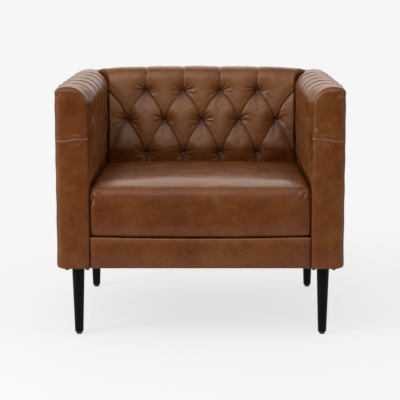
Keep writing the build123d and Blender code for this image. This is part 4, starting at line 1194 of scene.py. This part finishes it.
# Knots of the tufts, one for each, instanced on points that hold the way the pad faces
def knot_tree():
    tree = bpy.data.node_groups.new("tuft_knots", "GeometryNodeTree")
    for name, kind in (("Geometry", "Geometry"), ("Knot radius", "Float"), ("Knot height", "Float"),
                       ("Finish", "Material")):
        tree.interface.new_socket(name, in_out="INPUT", socket_type="NodeSocket" + kind)
    tree.interface.new_socket("Geometry", in_out="OUTPUT", socket_type="NodeSocketGeometry")
    given = node(tree, "NodeGroupInput").outputs
    ball = node(tree, "GeometryNodeMeshUVSphere", {
        "Segments": 14, "Rings": 8, "Radius": given["Knot radius"]})
    sizes = {0: given["Knot height"], 1: given["Knot radius"]}
    flatten = node(tree, "ShaderNodeMath", sizes, operation="DIVIDE")
    shape = node(tree, "ShaderNodeCombineXYZ", {0: 1.0, 1: 1.0, 2: flatten.outputs[0]})
    squat = node(tree, "GeometryNodeTransform", {
        "Geometry": ball.outputs["Mesh"], "Scale": shape.outputs[0]})
    knot = node(tree, "GeometryNodeSetShadeSmooth", {"Geometry": squat.outputs[0]})
    facing = node(tree, "GeometryNodeInputNamedAttribute", {"Name": "facing"}, data_type="FLOAT_VECTOR")
    aim = node(tree, "FunctionNodeAlignRotationToVector", {"Vector": facing.outputs[0]}, axis="Z")
    placed = node(tree, "GeometryNodeInstanceOnPoints", {
        "Points": given["Geometry"], "Instance": knot.outputs[0], "Rotation": aim.outputs[0]})
    real = node(tree, "GeometryNodeRealizeInstances", {0: placed.outputs[0]})
    finish = node(tree, "GeometryNodeSetMaterial", {
        "Geometry": real.outputs[0], "Material": given["Finish"]})
    node(tree, "NodeGroupOutput", {"Geometry": finish.outputs[0]})
    return tree


def tuft_knots():
    places, facing = [], []
    for u, up in BACK_TUFTING.tufts:
        places.append((u, back_face(up) - KNOT_SINK, up))
        facing.append((0, -cos(RAKE), sin(RAKE)))
    for side in (-1, 1):
        for along, up in ARM_TUFTING.tufts:
            if along > PAD_FRONT + MM:
                places.append((side * (INSIDE - KNOT_SINK), along, up))
                facing.append((-side, 0, 0))
    mesh = bpy.data.meshes.new("tuft_knots")
    mesh.from_pydata(places, [], [])
    layer = mesh.attributes.new("facing", "FLOAT_VECTOR", "POINT")
    layer.data.foreach_set("vector", np.array(facing, np.float32).reshape(-1))
    piece = show("tuft_knots", mesh, TWINE)
    tree = knot_tree()
    maker = piece.modifiers.new("knots", "NODES")
    maker.node_group = tree
    inputs = {item.name: item.identifier for item in tree.interface.items_tree if item.in_out == "INPUT"}
    maker[inputs["Knot radius"]] = KNOT
    maker[inputs["Knot height"]] = 0.7 * KNOT
    maker[inputs["Finish"]] = TWINE
    bake(piece)
    return piece


knots = tuft_knots()

# Finishes of the CAD nodes that stay: the first entry with a word of the node's name
FINISHES = (
    (("leg_plates", "leg_plate_screws"), BLACK_STEEL),
    (("leg_bolts",), ZINC),
    (("leg_glides",), NYLON),
    (("_leg_",), LEG_WOOD),
    (("board",), PLYWOOD),
    (("foam", "core"), FOAM),
    (("webbing", "ties"), WEBBING),
    (("rail", "post", "blocks"), FRAME_WOOD),
)
for name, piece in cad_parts.items():
    material = next((finish for words, finish in FINISHES if any(word in name for word in words)), None)
    if material:
        piece.data.materials.clear()
        piece.data.materials.append(material)

# Which body each piece rides on, and what it stands for
for piece, nodes in (
    (back, ["back_tufted_cover"]),
    (arm_right, ["arm_tufted_cover_right", "arm_front_cover_right"]),
    (arm_left, ["arm_tufted_cover_left", "arm_front_cover_left"]),
    (border, ["front_border_cover"]),
):
    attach(piece, "chair")
    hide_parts(*nodes)
for piece, nodes in (
    (panel_right, ["outside_arm_cover_right"]),
    (panel_left, ["outside_arm_cover_left"]),
    (panel_back, ["outside_back_cover"]),
):
    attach(piece, "chair")
    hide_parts(*nodes)
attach(cushion, "seat_cushion")
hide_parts("seat_cushion_cover", "seat_cushion_core")
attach(knots, "chair")
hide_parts("back_tuft_ties", "arm_tuft_ties_right", "arm_tuft_ties_left")
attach(deck, "chair")
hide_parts("seat_deck")
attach(dust, "chair")
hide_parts("dust_cover")


# Matt white paper: one sheet that runs under the chair and rises behind it, and fades into the backdrop
def studio_sheet():
    start, wall, bend, top, half_width = -1.45, 5.0, 2.5, 12.0, 14.0
    section = [(start, 0.0), (wall, 0.0)]
    section += [(wall + bend * sin(a), bend * (1 - cos(a))) for a in np.linspace(0, pi / 2, 16)[1:]]
    section += [(wall + bend, top)]
    grid = np.array([[(x, y, z) for x in (half_width, -half_width)] for y, z in section])
    m, place = new_material("studio_paper_matt")
    light = node(m, "ShaderNodeLightPath").outputs
    depth = node(m, "ShaderNodeSeparateXYZ", {0: place}).outputs["Y"]

    def by_depth(near, far):
        made = node(m, "ShaderNodeMapRange", {
            "Value": depth, "From Min": 0.4, "From Max": 2.2, "To Min": near, "To Max": far})
        return made.outputs["Result"]

    shade = ramp(m, light["Is Camera Ray"], [(0.0, grey(0.6)), (1.0, grey(0.9))])
    paper = node(m, "ShaderNodeBsdfDiffuse", {"Color": shade})
    glow = node(m, "ShaderNodeEmission", {"Color": colour("#f6f6f6"), "Strength": by_depth(1.1, 1.0)})
    rays = {0: light["Is Camera Ray"], 1: light["Is Glossy Ray"]}
    seen = node(m, "ShaderNodeMath", rays, operation="MAXIMUM").outputs[0]
    share = times(m, seen, by_depth(0.7, 1.0))
    sheet = node(m, "ShaderNodeMixShader", {0: share, 1: paper.outputs[0], 2: glow.outputs[0]})
    finish_material(m, sheet)
    build_piece("studio_paper", [(grid, {})], m)


studio_sheet()

# Warm white surround: bright to the camera, dimmer as a light, and dark below the horizon in reflections
SKY, SKY_SEEN, SKY_MIRRORED, GROUND_MIRRORED = 0.42, 0.92, 0.75, 0.08
world = bpy.data.worlds.new("studio")
bpy.context.scene.world = world
world.use_nodes = True
sky = world.node_tree.nodes["Background"]
sky.inputs["Color"].default_value = (1.0, 0.98, 0.94, 1.0)
path = node(world, "ShaderNodeLightPath").outputs
around = node(world, "ShaderNodeTexCoord").outputs["Generated"]
towards = node(world, "ShaderNodeSeparateXYZ", {0: around})
rise = node(world, "ShaderNodeMapRange", {
    "Value": towards.outputs["Z"], "From Min": -0.05, "From Max": 0.2,
    "To Min": GROUND_MIRRORED, "To Max": SKY_MIRRORED})
level = node(world, "ShaderNodeMapRange", {
    "Value": path["Is Camera Ray"], "To Min": SKY, "To Max": SKY_SEEN})
mirrored = node(world, "ShaderNodeMapRange", {
    "Value": path["Is Glossy Ray"], "To Min": level.outputs["Result"], "To Max": rise.outputs["Result"]})
world.node_tree.links.new(mirrored.outputs["Result"], sky.inputs["Strength"])

# Lamps: place, size, power, aim and tint of each soft box
WARM_WHITE = (1.0, 0.97, 0.93)
AMBER = (1.0, 0.87, 0.71)
LAMPS = {
    "left": ((-3.0, -2.0, 1.7), (0.9, 2.4), 46, (0, 0, 0.5), WARM_WHITE),
    "right": ((3.0, -2.0, 1.7), (0.9, 2.4), 9, (0, 0, 0.5), WARM_WHITE),
    "key": ((-2.0, -4.0, 4.2), (6.0, 3.0), 90, (0, 0, 0.6), WARM_WHITE),
    "overhead": ((0.0, -1.2, 3.3), (3.0, 1.2), 12, (0, 0.1, 0.6), WARM_WHITE),
    "rear": ((0.0, 2.4, 2.5), (2.8, 1.5), 17, (0, 0, 0.5), AMBER),
}
for name, (at, size, power, aim, tint) in LAMPS.items():
    lamp = bpy.data.lights.new(name, "AREA")
    lamp.shape = "RECTANGLE"
    lamp.size, lamp.size_y = size
    lamp.energy = power
    lamp.color = tint
    holder = bpy.data.objects.new(name, lamp)
    holder.location = at
    holder.rotation_euler = (Vector(aim) - Vector(at)).to_track_quat("-Z", "Y").to_euler()
    bpy.context.scene.collection.objects.link(holder)

lens = bpy.data.cameras.new("photograph")
lens.lens = LENS
lens.sensor_width = SENSOR
lens.shift_x = CAMERA_SHIFT
camera = bpy.data.objects.new("photograph", lens)
camera.location = CAMERA_AT
camera.rotation_euler = (pi / 2 - CAMERA_DOWN, 0, 0)
bpy.context.scene.collection.objects.link(camera)
bpy.context.scene.camera = camera
bpy.context.scene.view_settings.view_transform = "Standard"
